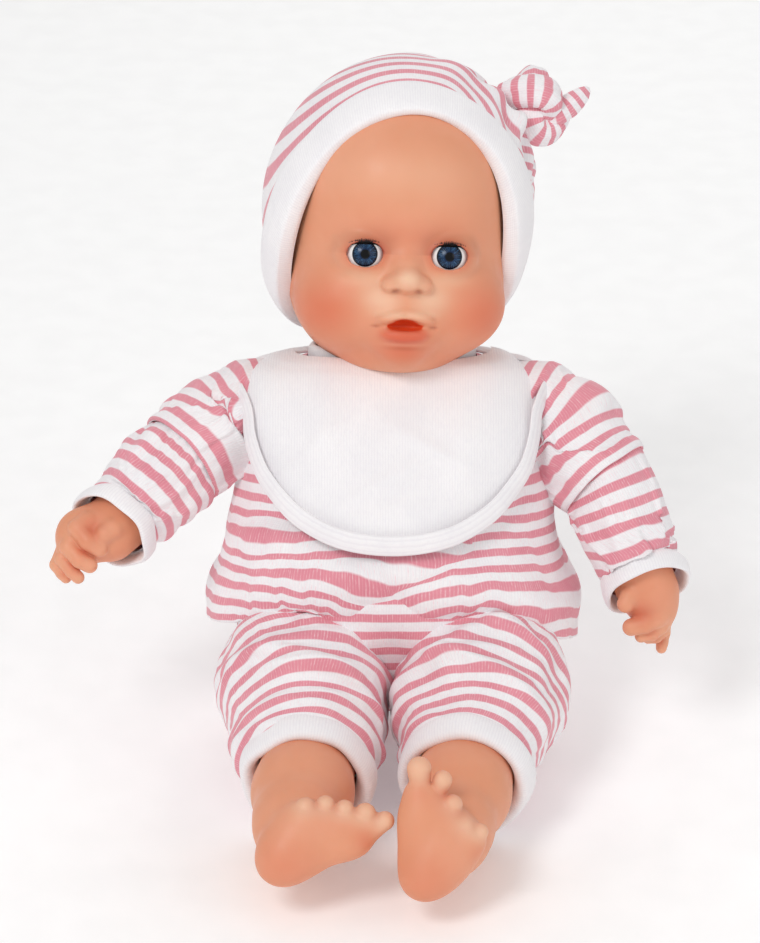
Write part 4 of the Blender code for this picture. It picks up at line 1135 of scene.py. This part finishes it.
def under_the_bib(grid, start):
    """Takes back what the simulation pushed outwards under the bib, so that the bib lies flat on it."""
    turn = mat_np(TORSO)[:3, :3]
    local, flat = grid @ turn, start @ turn
    inside = (local[..., 1] < 0) & (np.abs(local[..., 0]) < 4.75) & (local[..., 2] > 7.7)
    normals = grid_normals(flat)
    extra = np.where(inside, np.maximum(((local - flat) * normals).sum(2) - 0.06, 0), 0)
    return (local - normals * extra[..., None]) @ turn.T


def build_cloth(stripe, white):
    """All clothes that hang on the body: shaped first, then simulated together."""
    top = top_shape()
    shapes = {side: (sleeve_shape(side), lower_sleeve_shape(side), leg_shape(side)) for side in SIDES}
    jobs = [sim_job(
        "top", top, (0.10, 3, 2.2), (41, 12, 0.15, 0.5, 0.5, 0.92), 0.34, (1.02, 1.13),
        lambda v: np.maximum(np.clip(1.0 - (v - 0.20) / 0.12, 0, 1) ** 2, (v > 0.985) * 0.6), 0.6, 0.12, 0.1)]
    for side, (sleeve, lower, leg) in shapes.items():
        jobs.append(sim_job(
            f"arm{side}", sleeve, (0.06, 5 + side), (51 + side, 9, 0.16, 0.26, 0.35, 0.9),
            0.36, (1.01, 1.15), lambda v: np.maximum((v < 0.25) * 1.0, (v > 0.93) * 0.9), 0.45))
        jobs.append(sim_job(
            f"forearm{side}", lower, (0.10, 8 + side), (61 + side, 14, 0.18, 0.26, 0.25, 0.78),
            0.26, (1.01, 1.24), lambda v: np.maximum((v < 0.15) * 1.0, np.clip((v - 0.70) / 0.14, 0, 1) ** 2), 0.4))
        jobs.append(sim_job(
            f"leg{side}", leg, (0.10, 12 + side), (71 + side, 26, 0.24, 0.24, 0.3, 0.93),
            0.36, (1.02, 1.20), lambda v: np.maximum((v < 0.10) * 1.0, (v > 0.94) * 1.0), 0.5, 0.12))
    done = simulate(jobs)
    grid = under_the_bib(done["top"], top[0])
    obj = cloth_tube("pyjama_top", grid, top[1], stripe, 0.1, 0.7, "pyjama_top_body")
    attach(obj, "torso")
    for side, name in SIDES.items():
        sleeve, lower, leg = (shape[1] for shape in shapes[side])
        obj = cloth_tube(f"sleeve_upper_{name}", done[f"arm{side}"], sleeve, stripe, 0.3, 0.5)
        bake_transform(obj)
        obj = cloth_tube(f"sleeve_lower_{name}", done[f"forearm{side}"], lower, stripe, 0.2)
        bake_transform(obj)
        obj = cloth_tube(f"trouser_leg_{name}", done[f"leg{side}"], leg, stripe, 0.45)
        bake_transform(obj)
        build_cuffs(side, white)
    build_collar(white)


def rolled_cuff(node, frame, profile, cols, seed, rumple, mat):
    """A cuff turned from a (distance along, radius) outline, then rumpled as a soft doubled band."""
    p = np.array(profile, float)
    run = np.concatenate([[0], np.cumsum(np.hypot(*np.diff(p, axis=0).T))])
    rows = int(run[-1] / 0.11) + 2
    at = np.linspace(0, run[-1], rows)
    kernel = np.array([1, 2, 3, 2, 1]) / 9
    z, r = (np.concatenate([v[:2], np.convolve(v, kernel, "valid"), v[-2:]]) for v in spread(at, run, p).T)
    a = angles(cols)
    rng = np.random.default_rng(seed)
    wave, lift = np.zeros((rows, cols)), np.zeros((rows, cols))
    for k in range(1, 8):
        shift, slope = rng.uniform(0, 6.28), rng.uniform(-1.8, 1.8)
        wave += np.sin(k * a[None, :] + shift + slope * at[:, None]) * rng.uniform(0.3, 1.0) / k**0.45
        lift += np.sin(k * a[None, :] + rng.uniform(0, 6.28)) * rng.uniform(0.3, 1.0) / k**0.7
    rr = r[:, None] + wave * (rumple / 2.2)
    grid = np.stack([-rr * np.cos(a), -rr * np.sin(a), z[:, None] + lift * (rumple / 2.0)], axis=2)
    girth = 2 * np.pi * p[:, 1].mean()
    obj = cloth_mesh(f"{node}_cloth", refine(grid, 2, 2), stretch(at, rows * 2 - 1), girth, mat, frame)
    return obj


# Outlines of the cuffs: distance along the limb and radius, from inside the cloth outwards and back in.
SLEEVE_CUFF = [
    (-0.30, 1.38), (-0.46, 1.50), (-0.40, 1.62), (-0.08, 1.68), (0.32, 1.66), (0.46, 1.58), (0.44, 1.47),
    (0.22, 1.42), (-0.38, 1.36),
]
TROUSER_CUFF = [
    (0.13, 2.08), (0.03, 2.26), (0.15, 2.38), (0.55, 2.40), (1.03, 2.30), (1.17, 2.16), (1.15, 2.0),
    (0.99, 1.85), (0.65, 1.74), (0.25, 1.70),
]


def build_cuffs(side, white):
    name = SIDES[side]
    frame = frame_at(*cuff_axis(side), (0, 0.5, 1))
    obj = rolled_cuff(f"sleeve_cuff_{name}", frame, SLEEVE_CUFF, 60, 20 + side, 0.10, white)
    declare(obj, f"forearm_{name}", "white", f"sleeve_cuff_{name}")
    knee, ankle = Vector(KNEE[side]), Vector(ANKLE[side])
    frame = frame_at(knee + Vector((0, 0, -0.12)), ankle - knee + Vector((0, 0, -0.6)), (0, 0.5, 1))
    obj = rolled_cuff(f"trouser_cuff_{name}", frame, TROUSER_CUFF, 76, 30 + side, 0.13, white)
    declare(obj, f"thigh_{name}", "white", f"trouser_cuff_{name}")


def build_collar(white):
    # height and how far out, from inside the neckline over the fold and back down
    section = (
        (14.35, 0.0), (14.4, 0.24), (14.6, 0.34), (14.88, 0.30), (15.0, 0.16), (14.9, 0.02), (14.5, -0.05),
    )
    rings = [oval_ring(2.72 + grow, 2.42 + grow, 0.3, s, 110, 2.1) for s, grow in section]
    grid = refine(np.array([ring for ring, _ in rings]), 5, 2)
    obj = cloth_mesh("collar_band", grid, np.linspace(0, 1.9, len(grid)), rings[-1][1], white, TORSO)
    declare(obj, "torso", "white", "collar_ribbing")


# ------------------------------------------------------------------ bib
BIB_LOW, BIB_TOP, BIB_HALF, BIB_LIFT = 8.2, 14.5, 5.0, 0.25


def bib_point(s, turn, lift):
    """Points over the top at heights s, turned this far from the middle of the chest."""
    a, b, c = np.array([top_row(v) for v in s]).T
    y, x = oval(turn, b + lift, a + lift, OVAL)
    return np.column_stack([x, c - y, s + lift * np.clip((s - 12.8) / 1.2, 0, 1)])


def bib_turn(s):
    """How far round the body the bib reaches at height s: it passes over the shoulders behind the neck."""
    t = np.clip((s - BIB_LOW) / 4.3, 0, 1)
    half = BIB_HALF * np.sqrt(np.maximum(1 - (1 - t) ** 2, 0)) ** 0.92
    edge = np.array([top_row(v)[0] for v in s])
    over = step01(s, 12.7, 13.75)
    return np.arcsin(np.minimum(half / edge, 0.94) ** 1.15) * (1 - over) + math.radians(100) * over


def bib_lift(s, x, wrinkles):
    """How far the panel stands off the top: seeded wrinkles and five soft creases."""
    lift = BIB_LIFT + sum(0.028 * np.sin(shift + kx * x * 2 + ks * s) for shift, kx, ks in wrinkles)
    for height, across, wide, x_wide, line, middle in (
        (0.16, np.abs(x), 1.4, 0.6, 12.3, 2.4),
        (0.10, x, 0.3, 1.5, 10.9 + 0.5 * x, -0.4),
        (0.10, x, 0.32, 1.3, 12.6 - 0.55 * x, 1.6),
        (0.09, x, 0.35, 2.6, 10.3 - 0.10 * x * x + 0.2 * x, 0.0),
        (0.08, x, 0.35, 1.0, 12.0 + 0.9 * (x + 2.6), -2.8),
    ):
        lift = lift + height * bell(s - line, wide) * bell(across - middle, x_wide)
    return lift


def bib_panel(white):
    rng = np.random.default_rng(4)
    rows, cols = 84, 110
    low = BIB_LOW + 0.03
    s = low + (BIB_TOP - low) * (1 - np.linspace(0, 1, rows)) ** 1.15
    wrinkles = [(rng.uniform(0, 6.28), rng.normal(0, 0.55), rng.normal(0, 0.9)) for _ in range(9)]
    grid = np.zeros((rows, cols, 3))
    for i, reach in enumerate(np.maximum(bib_turn(s) - 0.03, 0.01)):
        at, turn = np.full(cols, s[i]), np.linspace(-1, 1, cols) * reach
        x = bib_point(at, turn, BIB_LIFT)[:, 0]
        grid[i] = bib_point(at, turn, bib_lift(s[i], x, wrinkles))
    return cloth_mesh("bib_panel_cloth", grid, s, grid[..., 0], white, TORSO, wrap=False)


def bib_edge():
    """Heights and turns along the bib's edge, from the nape round the front and back to the nape."""
    nape = np.array([14.45, 14.45, 14.42, 14.38, 14.3, 14.1, 13.9])
    round_front = 12.7 - (12.7 - BIB_LOW) * np.sin(np.linspace(0.02, 1, 200) * np.pi / 2) ** 0.9
    s = np.concatenate([nape, np.linspace(13.75, 12.7, 30), round_front])
    turn = bib_turn(s)
    turn[:4] = np.radians([179, 158, 136, 116])
    left = np.column_stack([s, -turn])
    return np.concatenate([left, left[-2::-1] * (1, -1)])


def bib_binding(white):
    """A soft folded tape over the edge, stitched near its inner side."""
    edge = bib_edge()
    path = bib_point(*edge.T, BIB_LIFT + 0.04)
    step = run_along(path)
    even = np.linspace(0, step[-1], 460)
    flat = spread(even, step, edge)
    path = spread(even, step, path)
    path[:, 2] -= 0.16 * step01(flat[:, 0], 14.0, 14.4)
    path[8:-8] = blurred(path, 17)
    # the tape stands square to the cloth, and lies level on the shoulders
    normal = unit(bib_point(*flat.T, 0.6) - bib_point(*flat.T, 0.1))
    level = step01(flat[:, 0], 13.3, 14.2)[:, None]
    normal = unit(normal * (1 - level) + np.array((0, 0, 1.0)) * level)
    across = unit(np.cross(unit(np.gradient(path, axis=0)), normal))
    middle = bib_point(np.array([11.5]), np.array([0.0]), BIB_LIFT)
    across *= np.sign((across * (middle - path)).sum(1))[:, None]
    wave = 0.02 * np.sin(even * 1.3) + 0.015 * np.sin(even * 3.1 + 1)
    stitches = 0.035 * (0.6 + 0.4 * np.sin(even * 2 * np.pi / 0.22))
    lines = []
    for a in angles(22):
        d = 0.32 + 0.36 * math.cos(a)
        up = 0.10 * abs(math.sin(a)) ** 0.7 * (1 if math.sin(a) > 0 else -1)
        stitched = (math.cos(a) > 0.35 and math.sin(a) > 0) * math.exp(-(((d - 0.58) / 0.05) ** 2))
        lines.append(path + across * d + normal * (0.03 + up - stitches * stitched + wave)[:, None])
    return cloth_mesh("bib_binding_tape", np.stack(lines, axis=1), even, 0.98, white, TORSO)


def build_bib(white):
    panel, tape = bib_panel(white), bib_binding(white)
    declare(panel, "torso", "white", "bib_panel")
    declare(tape, "torso", "white", "bib_binding")


# ------------------------------------------------------------------ hat
HAT_TOP, HAT_HALVES = 6.15, (4.88, 5.9)
KNOT_SIDE = (4.0, 0.8, 3.9)  # where the crown's pleats run together


def hat_ring(t, angle, larger=0.0, added=0.0):
    """The hat's surface at heights t. It clings at the cheeks and is pulled towards the knot higher up."""
    k = np.sqrt(np.maximum(1 - (np.maximum(t, 0.0) / HAT_TOP) ** 2, 0.0))
    a, b = ((half + larger) * k + added for half in HAT_HALVES)
    x, y = a * np.cos(angle), b * np.sin(angle)
    w = step01(t * 0.643 - y * 0.766, -1.5, 3.6)
    return np.column_stack([x * (0.925 + 0.075 * w) - 0.12 + 0.26 * w, y, t])


def hat_edge(angle):
    front = -np.sin(angle)
    return -2.1 + (np.where(front > 0, -0.4, 1.0) + 2.1) * front * front


def crown_grid():
    rows, angle = 30, angles(112) + np.pi / 2
    grid = []
    for i in range(rows):
        f = (i / (rows - 1)) ** 1.05
        t = (hat_edge(angle) + 1.25) * (1 - f) + 6.06 * f
        rise = np.clip((t - 0.5) / 4.0, 0, 1)
        ring = hat_ring(t, angle, larger=0.16)
        ring[:, 2] += 0.42 * rise
        ring[:, 0] += 0.18 * rise * np.clip(1 - rise, 0.3, 1)
        ring[:, :2] *= (1 + 0.04 * rise * (1 - rise) * 4)[:, None]
        grid.append(ring)
    return np.array(grid)


def hat_place(point):
    """A point of the head's frame in the hat's."""
    return np.array(HAT.inverted() @ HEAD @ Vector(point))


def build_crown(stripe, rng):
    grid = crown_grid()
    widest = float(girths(grid).max())
    steps = np.linalg.norm(np.diff(grid, axis=0), axis=2)
    v = np.concatenate([np.zeros((1, grid.shape[1])), np.cumsum(steps, axis=0)])
    # pleats that run together at the knot
    knot = hat_place(KNOT_SIDE)
    away = np.linalg.norm(grid - knot, axis=2)
    around = np.arctan2(grid[..., 1] - knot[1], grid[..., 0] - knot[0])
    pleat = np.sin(13 * around + 2.0 * np.sin(3 * around)) * np.exp(-(np.maximum(away - 1.0, 0) / 2.3) ** 1.6)
    pleat *= np.clip((grid[..., 2] + 1.5) / 1.5, 0, 1)
    soft = waves(grid, rng, 12, 0.55)
    # a fold of cloth pulled from the top of the crown to the knot
    start, end = hat_place((1.5, -1.2, 5.9)), hat_place((4.2, -0.9, 4.0))
    along = np.clip(((grid - start) @ (end - start)) / ((end - start) @ (end - start)), 0, 1)
    off = np.linalg.norm(grid - start - along[..., None] * (end - start), axis=2)
    fold = bell(off, 0.42) * (0.3 + 0.7 * along) - 0.35 * bell(off - 0.8, 0.35) * along
    grid = pushed(grid, 0.17 * pleat + 0.02 * soft + 0.30 * fold)
    # two more rings close the top
    middle = grid[-1:].mean(1, keepdims=True)
    grid = np.concatenate([grid] + [middle + (grid[-1:] - middle) * size for size in (0.5, 0.02)])
    v = np.concatenate([v, v[-1:] + 0.5, v[-1:] + 1.0])
    # stripes follow the brim, close round the knot behind and sweep past it in front on the right
    fine, v = refine(grid, 4, 3), refine(v[..., None], 4, 3)[..., 0]
    away = np.linalg.norm(fine - knot, axis=2)
    right = step01(fine[..., 0] + 0.25 * fine[..., 1], -0.4, 2.9)
    right *= 1 - step01(fine[..., 1] - knot[1], -1.4, 1.6)
    v = soft_min(v, 9.2 - away, 2.2) * (1 - right) + (4.6 - 0.72 * away) * right
    obj = cloth_mesh("hat_crown_cloth", fine, v, widest, stripe, HAT)
    declare(obj, "hat", "stripe", "hat_crown")


# Section of the folded brim: height above the edge, how far out, and how far it tucks in at the sides.
BRIM = [
    (0.16, -0.30, 0.55), (0.03, -0.20, 0.52), (0.0, -0.02, 0.42), (0.08, 0.10, 0.26), (0.32, 0.20, 0.10),
    (0.66, 0.26, 0.04), (1.0, 0.30, 0), (1.22, 0.31, 0), (1.34, 0.25, 0), (1.36, 0.12, 0), (1.28, 0.02, 0),
]


def build_brim(white, rng):
    angle = angles(150) + np.pi / 2
    sides = np.abs(np.cos(angle)) ** 2
    rings = []
    for k, (lift, out, tuck) in enumerate(BRIM):
        t = hat_edge(angle) + lift * 1.32 / 1.35 - 0.25 * sides * (k < 4)
        rings.append(hat_ring(t, angle, added=out - tuck * sides))
    grid = np.array(rings)
    grid[1:-1] += (grid_normals(grid) * (0.014 * waves(grid, rng, 14, 0.8))[..., None])[1:-1]
    fine = refine(grid, 4, 2)
    at = np.concatenate([[0], np.cumsum(np.linalg.norm(np.diff(grid, axis=0), axis=2).mean(1))])
    obj = cloth_mesh("hat_band_cloth", fine, stretch(at, len(fine)), tube_area(grid)[0] / CM, white, HAT)
    declare(obj, "hat", "white", "hat_brim")


def cord(name, path, radius, cols, seed, stripe, v, u, held, rests_on, *nodes):
    """A soft roll of striped cloth along a path. v is (what its stripes start from, how fast they pass)."""
    tangent = unit(np.gradient(path, axis=0))
    side = np.cross(tangent[0], (0.3, 0.2, 1.0))
    a = angles(cols)
    shifts = np.random.default_rng(seed).uniform(0, 6.28, 5)
    lobes = ((0.06, 3, 0.10), (0.05, 5, -0.07), (0.03, 9, 0.05))
    rings = []
    for i, (point, t) in enumerate(zip(path, tangent)):
        side = unit(side - t * (side @ t))
        bumps = sum(size * np.sin(n * a + start + twist * i) for (size, n, twist), start in zip(lobes, shifts))
        r = (radius[i] * (1 + bumps))[:, None]
        rings.append(point + r * (np.cos(a)[:, None] * side + np.sin(a)[:, None] * np.cross(t, side)))
    grid = np.array(rings)
    obj = cloth_mesh(name, grid, v[0] + run_along(path) * v[1], u, stripe, HEAD)
    declare(obj, "hat", "stripe", *nodes)


def build_knot(stripe):
    """The crown's gathered end is tied in an overhand knot; its tail points up and outwards."""
    frame = mat_np(frame_at((4.85, 0.7, 4.75), unit(np.array((0.62, 0.0, 0.42))), (0, 1, 0)))
    t, r = np.linspace(0, 2 * np.pi, 150), 0.58
    trefoil = np.column_stack([
        0.33 * (np.sin(t) + 2 * np.sin(2 * t)), 0.33 * (np.cos(t) - 2 * np.cos(2 * t)), -np.sin(3 * t) * 0.5])
    path = trefoil @ frame[:3, :3].T + frame[:3, 3]
    cord("hat_knot_wrap", path, np.full(150, r), 28, 2, stripe, (0, 1.7), 2 * np.pi * r,
         "folded", "hat_crown_cloth", "hat_knot")
    tail = np.array([
        (5.3, 0.6, 4.35, 0.46), (5.75, 0.5, 4.45, 0.48), (6.15, 0.5, 4.72, 0.44), (6.45, 0.5, 5.0, 0.36),
        (6.68, 0.5, 5.22, 0.26), (6.84, 0.5, 5.38, 0.13), (6.88, 0.5, 5.42, 0.02),
    ])
    tail = spread(np.linspace(0, len(tail) - 1, 50), np.arange(len(tail)), tail)
    cord("hat_knot_tail", tail[:, :3], tail[:, 3], 28, 9, stripe, (0, 1.6), 2.4, "folded", "hat_knot_wrap")
    root = np.array([
        (3.3, 0.7, 3.5, 1.35), (3.75, 0.72, 3.9, 0.95), (4.2, 0.72, 4.3, 0.70), (4.6, 0.7, 4.6, 0.65),
    ])
    root = spread(np.linspace(0, len(root) - 1, 16), np.arange(len(root)), root)
    cord("hat_knot_root", root[:, :3], root[:, 3], 40, 5, stripe, (0.4, 1), 3.6, "gathered", "hat_crown_cloth")


def build_hat(stripe, white):
    rng = np.random.default_rng(7)
    build_crown(stripe, rng)
    build_brim(white, rng)
    build_knot(stripe)


# ------------------------------------------------------------------ stuffed body
BUTTON_AT = 8.6  # height of the tummy button in the torso's frame


def torso_field(low, high, step, grow):
    """A field of the torso's loft, with the torso-frame coordinates of its samples."""
    f = Field(low, high, step)
    m = mat_np(TORSO.inverted())[:3, :3].astype(np.float32)
    x, y, s = (m[k][0] * f.p[0] + m[k][1] * f.p[1] + m[k][2] * f.p[2] for k in range(3))
    rows = np.array(BODY)
    a, b, c = (np.interp(s, rows[:, 0], rows[:, k]).astype(np.float32) for k in (1, 2, 3))
    a, b = a + grow, b + grow
    q = (np.abs(x / a) ** OVAL + np.abs((y - c) / b) ** OVAL) ** (1 / OVAL)
    f.d = (q - 1) * np.minimum(a, b)
    return f, x, y, s


def cut_hips(f, radius, k):
    for side in SIDES:
        hip = np.array(HIP[side])
        f.groove(hip, hip + np.array((-0.12 * side, -1.0, 0.03)) * 6, radius, radius, k)


def build_seat(stripe):
    """The seat of the trousers: the torso's own shape, cut away for the thighs and left open at the waist."""
    f, x, y, s = torso_field((-7.2, -6.0, -0.6), (7.2, 7.4, 9.2), 0.11, 0.40)
    belly = (0.22 * (1 - step01(y, -2.5, 1.5))).astype(np.float32)
    f.d = np.maximum(f.d + belly, -0.9 - s).astype(np.float32)
    cut_hips(f, 3.0, 0.25)
    f.dent((0, -4.3, 3.9), (1.5, 1.9, 2.9), 0.6)
    f.d = np.maximum(f.d, 0.04 - f.p[2])
    f.cut(f.p[2] - (2.9 - f.p[1]) * 0.5, 0.9)
    points, quads = f.mesh(3)
    local = points @ mat_np(TORSO)[:3, :3]
    below_waist = local[quads][..., 2].mean(1) < 7.2
    obj = new_mesh("trouser_seat_cloth", points, quads[below_waist], stripe)
    around = np.arctan2(local[:, 0], -local[:, 1]) * 5.0
    store(obj, "cloth", np.column_stack([around, local[:, 2] + 0.3, np.zeros(len(local))]))
    declare(obj, "torso", "stripe", "trouser_seat")


def stuffed(name, body, f, ticking, *nodes):
    obj = new_mesh(f"{name}_stuffed", *f.mesh(), ticking)
    declare(obj, body, "calico", *nodes)


def build_torso(ticking):
    """Stuffed torso skin, closed at the neck and open to the back for the sound module."""
    f, x, y, s = torso_field((-6.2, -6.2, -0.2), (6.2, 7.6, 15.4), 0.13, -0.02)
    f.d = np.maximum(f.d, np.maximum(0.08 - s, s - 14.15)).astype(np.float32)
    f.d = np.maximum(f.d, 0.14 - f.p[2])
    f.cut(f.p[2] - (2.9 - f.p[1]) * 0.5 - 0.15, 0.9)
    cut_hips(f, 2.98, 0.2)
    f.dent((0, -4.3, 3.9), (1.8, 2.2, 3.2), 0.6)
    off_button = np.hypot(x, s - BUTTON_AT)
    pocket = np.maximum(np.abs(x) - 2.45, np.maximum(np.maximum(-y, y - 9.0), np.maximum(5.9 - s, s - 11.1)))
    button = np.maximum(off_button - 1.75, np.maximum(y + 1.9, -9 - y))
    wire = np.maximum(off_button - 0.45, np.maximum(y - 0.6, -5 - y))
    neck = np.maximum(np.hypot(x, y - 0.3) - 2.5, 13.3 - s)
    for hole, k in ((pocket, 0.06), (button, 0.05), (wire, 0.05), (neck, 0.05)):
        f.cut(hole.astype(np.float32), k)
    stuffed("torso", "torso", f, ticking, "body_skin", "body_stuffing")


def build_body(ticking):
    build_torso(ticking)
    for side, name in SIDES.items():
        h, k, d = ray(HIP[side], KNEE[side])
        shin = ray(KNEE[side], ANKLE[side])[2]
        f = Field((min(h[0], k[0]) - 3.4, -7.0, -0.2), (max(h[0], k[0]) + 3.4, 1.9, 6.6), 0.12)
        f.rod(h, h + d * 1.6, 2.3, 2.25)
        f.rod(h + d * 1.6, k - d * 2.6, 2.25, 1.95, 0.4)
        f.groove(k - shin * 2.15, k + shin * 1.0, 1.12, 1.12, 0.12)
        stuffed(f"thigh_{name}", f"thigh_{name}", f, ticking, f"thigh_{name}")
        s, e, d = ray(SHOULDER[side], ELBOW[side])
        f = Field(np.minimum(s, e) - 2.6, np.maximum(s, e) + 2.6, 0.12)
        f.rod((side * 7.3, s[1], s[2]), e - d * 1.5 + (side * 0.3, 0, 0), 0.8, 0.9)
        stuffed(f"upper_arm_{name}", f"upper_arm_{name}", f, ticking, f"upper_arm_{name}")


# ------------------------------------------------------------------ parts carried over from the frame
def build_spring(steel):
    """The return spring between the housing floor and the push disc, as a fixed copy carried by the torso."""
    node = bpy.data.objects["button_spring"]
    mesh = node.data.copy()
    mesh.transform(node.matrix_world)
    mesh.materials.clear()
    mesh.materials.append(steel)
    mesh.polygons.foreach_set("use_smooth", [True] * len(mesh.polygons))
    obj = link("button_coil", mesh)
    declare(obj, "torso", "steel", "button_spring")
    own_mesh(obj)


def build_small_parts():
    white = plastic("case_plastic", srgb(236, 234, 228), srgb(228, 226, 220), 0.45)
    dark = plastic("black_plastic", srgb(26, 26, 28), srgb(34, 34, 37), 0.5)
    steel = plastic("bright_steel", (0.58, 0.58, 0.60), (0.66, 0.66, 0.68), 0.28, 300.0, 1.0)
    lead = plastic("weight_metal", (0.30, 0.30, 0.32), (0.38, 0.38, 0.40), 0.5, 200.0, 1.0)
    nylon = plastic("nylon_strap", srgb(225, 224, 218), srgb(214, 212, 205), 0.4, 260.0)
    socket = plastic("socket_plastic", srgb(242, 240, 236), srgb(232, 229, 224), 0.5)
    disc = plastic("button_plastic", srgb(238, 120, 140), srgb(230, 108, 128), 0.4)
    wire = plastic("wire_sheath", srgb(196, 40, 44), srgb(180, 34, 38), 0.45, 400.0)
    build_spring(steel)
    kinds = {
        white: ("module_front_case", "module_rear_case", "battery_door", "button_housing", "power_slider"),
        steel: ("battery_door_screw", "battery_cell_1", "battery_cell_2", "battery_cell_3"), dark: ("speaker",),
        lead: ("eye_weight_left", "eye_weight_right"), nylon: ("neck_cable_tie",), disc: ("tummy_button",),
        socket: ("neck_ring", "eye_socket_left", "eye_socket_right"), wire: ("sensor_cable",),
        board_material(): ("circuit_board",),
    }
    for mat, nodes in kinds.items():
        for node in nodes:
            materials = bpy.data.objects[node].data.materials
            materials.clear()
            materials.append(mat)


# ------------------------------------------------------------------ stage, camera, lights
FLOOR_HALF, FLOOR_AT = 6.0, -0.0006  # metres
AIM = Vector((-0.0044, 0.0108, 0.0918))
CAMERA_AWAY = 1.30
# name, place, what it points at, size and power
LIGHTS = (
    ("key", (-0.55, -0.95, 1.15), (0, 0, 0.1), 0.5, 7.4),
    ("fill", (0.95, -0.75, 0.65), (0, 0, 0.1), 0.9, 2.2),
    ("back", (0.2, 1.1, 1.0), (0, 0, 0.12), 0.8, 3.0),
)


def build_floor():
    n = Nodes("floor_paper")
    n.bsdf.inputs["Emission Color"].default_value = (1, 1, 1, 1)
    n.bsdf.inputs["Emission Strength"].default_value = 0.16
    base = n.blotchy(n.noise(60.0, 3.0), (0.90, 0.90, 0.90), (0.93, 0.93, 0.93))
    paper = n.finish(base, rough=0.9, spec=0.2)
    mesh = bpy.data.meshes.new("floor")
    corners = ((-1, -1), (1, -1), (1, 1), (-1, 1))
    mesh.from_pydata([(x * FLOOR_HALF, y * FLOOR_HALF, FLOOR_AT) for x, y in corners], [], [(0, 1, 2, 3)])
    mesh.materials.append(paper)
    link("floor", mesh)


def build_stage():
    build_floor()
    scene = bpy.context.scene
    scene.world = bpy.data.worlds.new("studio")
    scene.world.use_nodes = True
    background = scene.world.node_tree.nodes["Background"]
    background.inputs["Color"].default_value = (1.0, 0.995, 0.99, 1)
    background.inputs["Strength"].default_value = 0.56
    for name, spot, aim, size, power in LIGHTS:
        light = bpy.data.lights.new(name, "AREA")
        light.shape = "DISK"
        light.size = size
        light.energy = power
        lamp = link(name, light)
        lamp.location = spot
        lamp.rotation_euler = (Vector(aim) - Vector(spot)).to_track_quat("-Z", "Y").to_euler()
    cam = bpy.data.cameras.new("camera")
    cam.sensor_fit = "VERTICAL"
    cam.sensor_height = 36.0
    cam.lens = 134.0
    scene.camera = link("camera", cam)
    scene.camera.location = AIM + Vector((0, -math.cos(VIEW_TILT), math.sin(VIEW_TILT))) * CAMERA_AWAY
    scene.camera.rotation_euler = (math.pi / 2 - VIEW_TILT, 0, 0)
    scene.view_settings.view_transform = "Standard"


# ------------------------------------------------------------------ the doll
vinyl = vinyl_material()
lash_hair = Nodes("lash_fibre").finish((0.006, 0.005, 0.005), rough=0.45)
build_head(vinyl)
build_eyes(eye_material(), lash_hair)
for side in SIDES:
    build_hand(side, vinyl)
    build_foot(side, vinyl)
stripe, white = jersey("striped_jersey", True), jersey("white_jersey", False)
build_body(plastic("torso_ticking", srgb(236, 226, 210), srgb(226, 214, 196), 0.9, 500.0))
build_cloth(stripe, white)
build_seat(stripe)
build_bib(white)
build_hat(stripe, white)
build_small_parts()
build_stage()
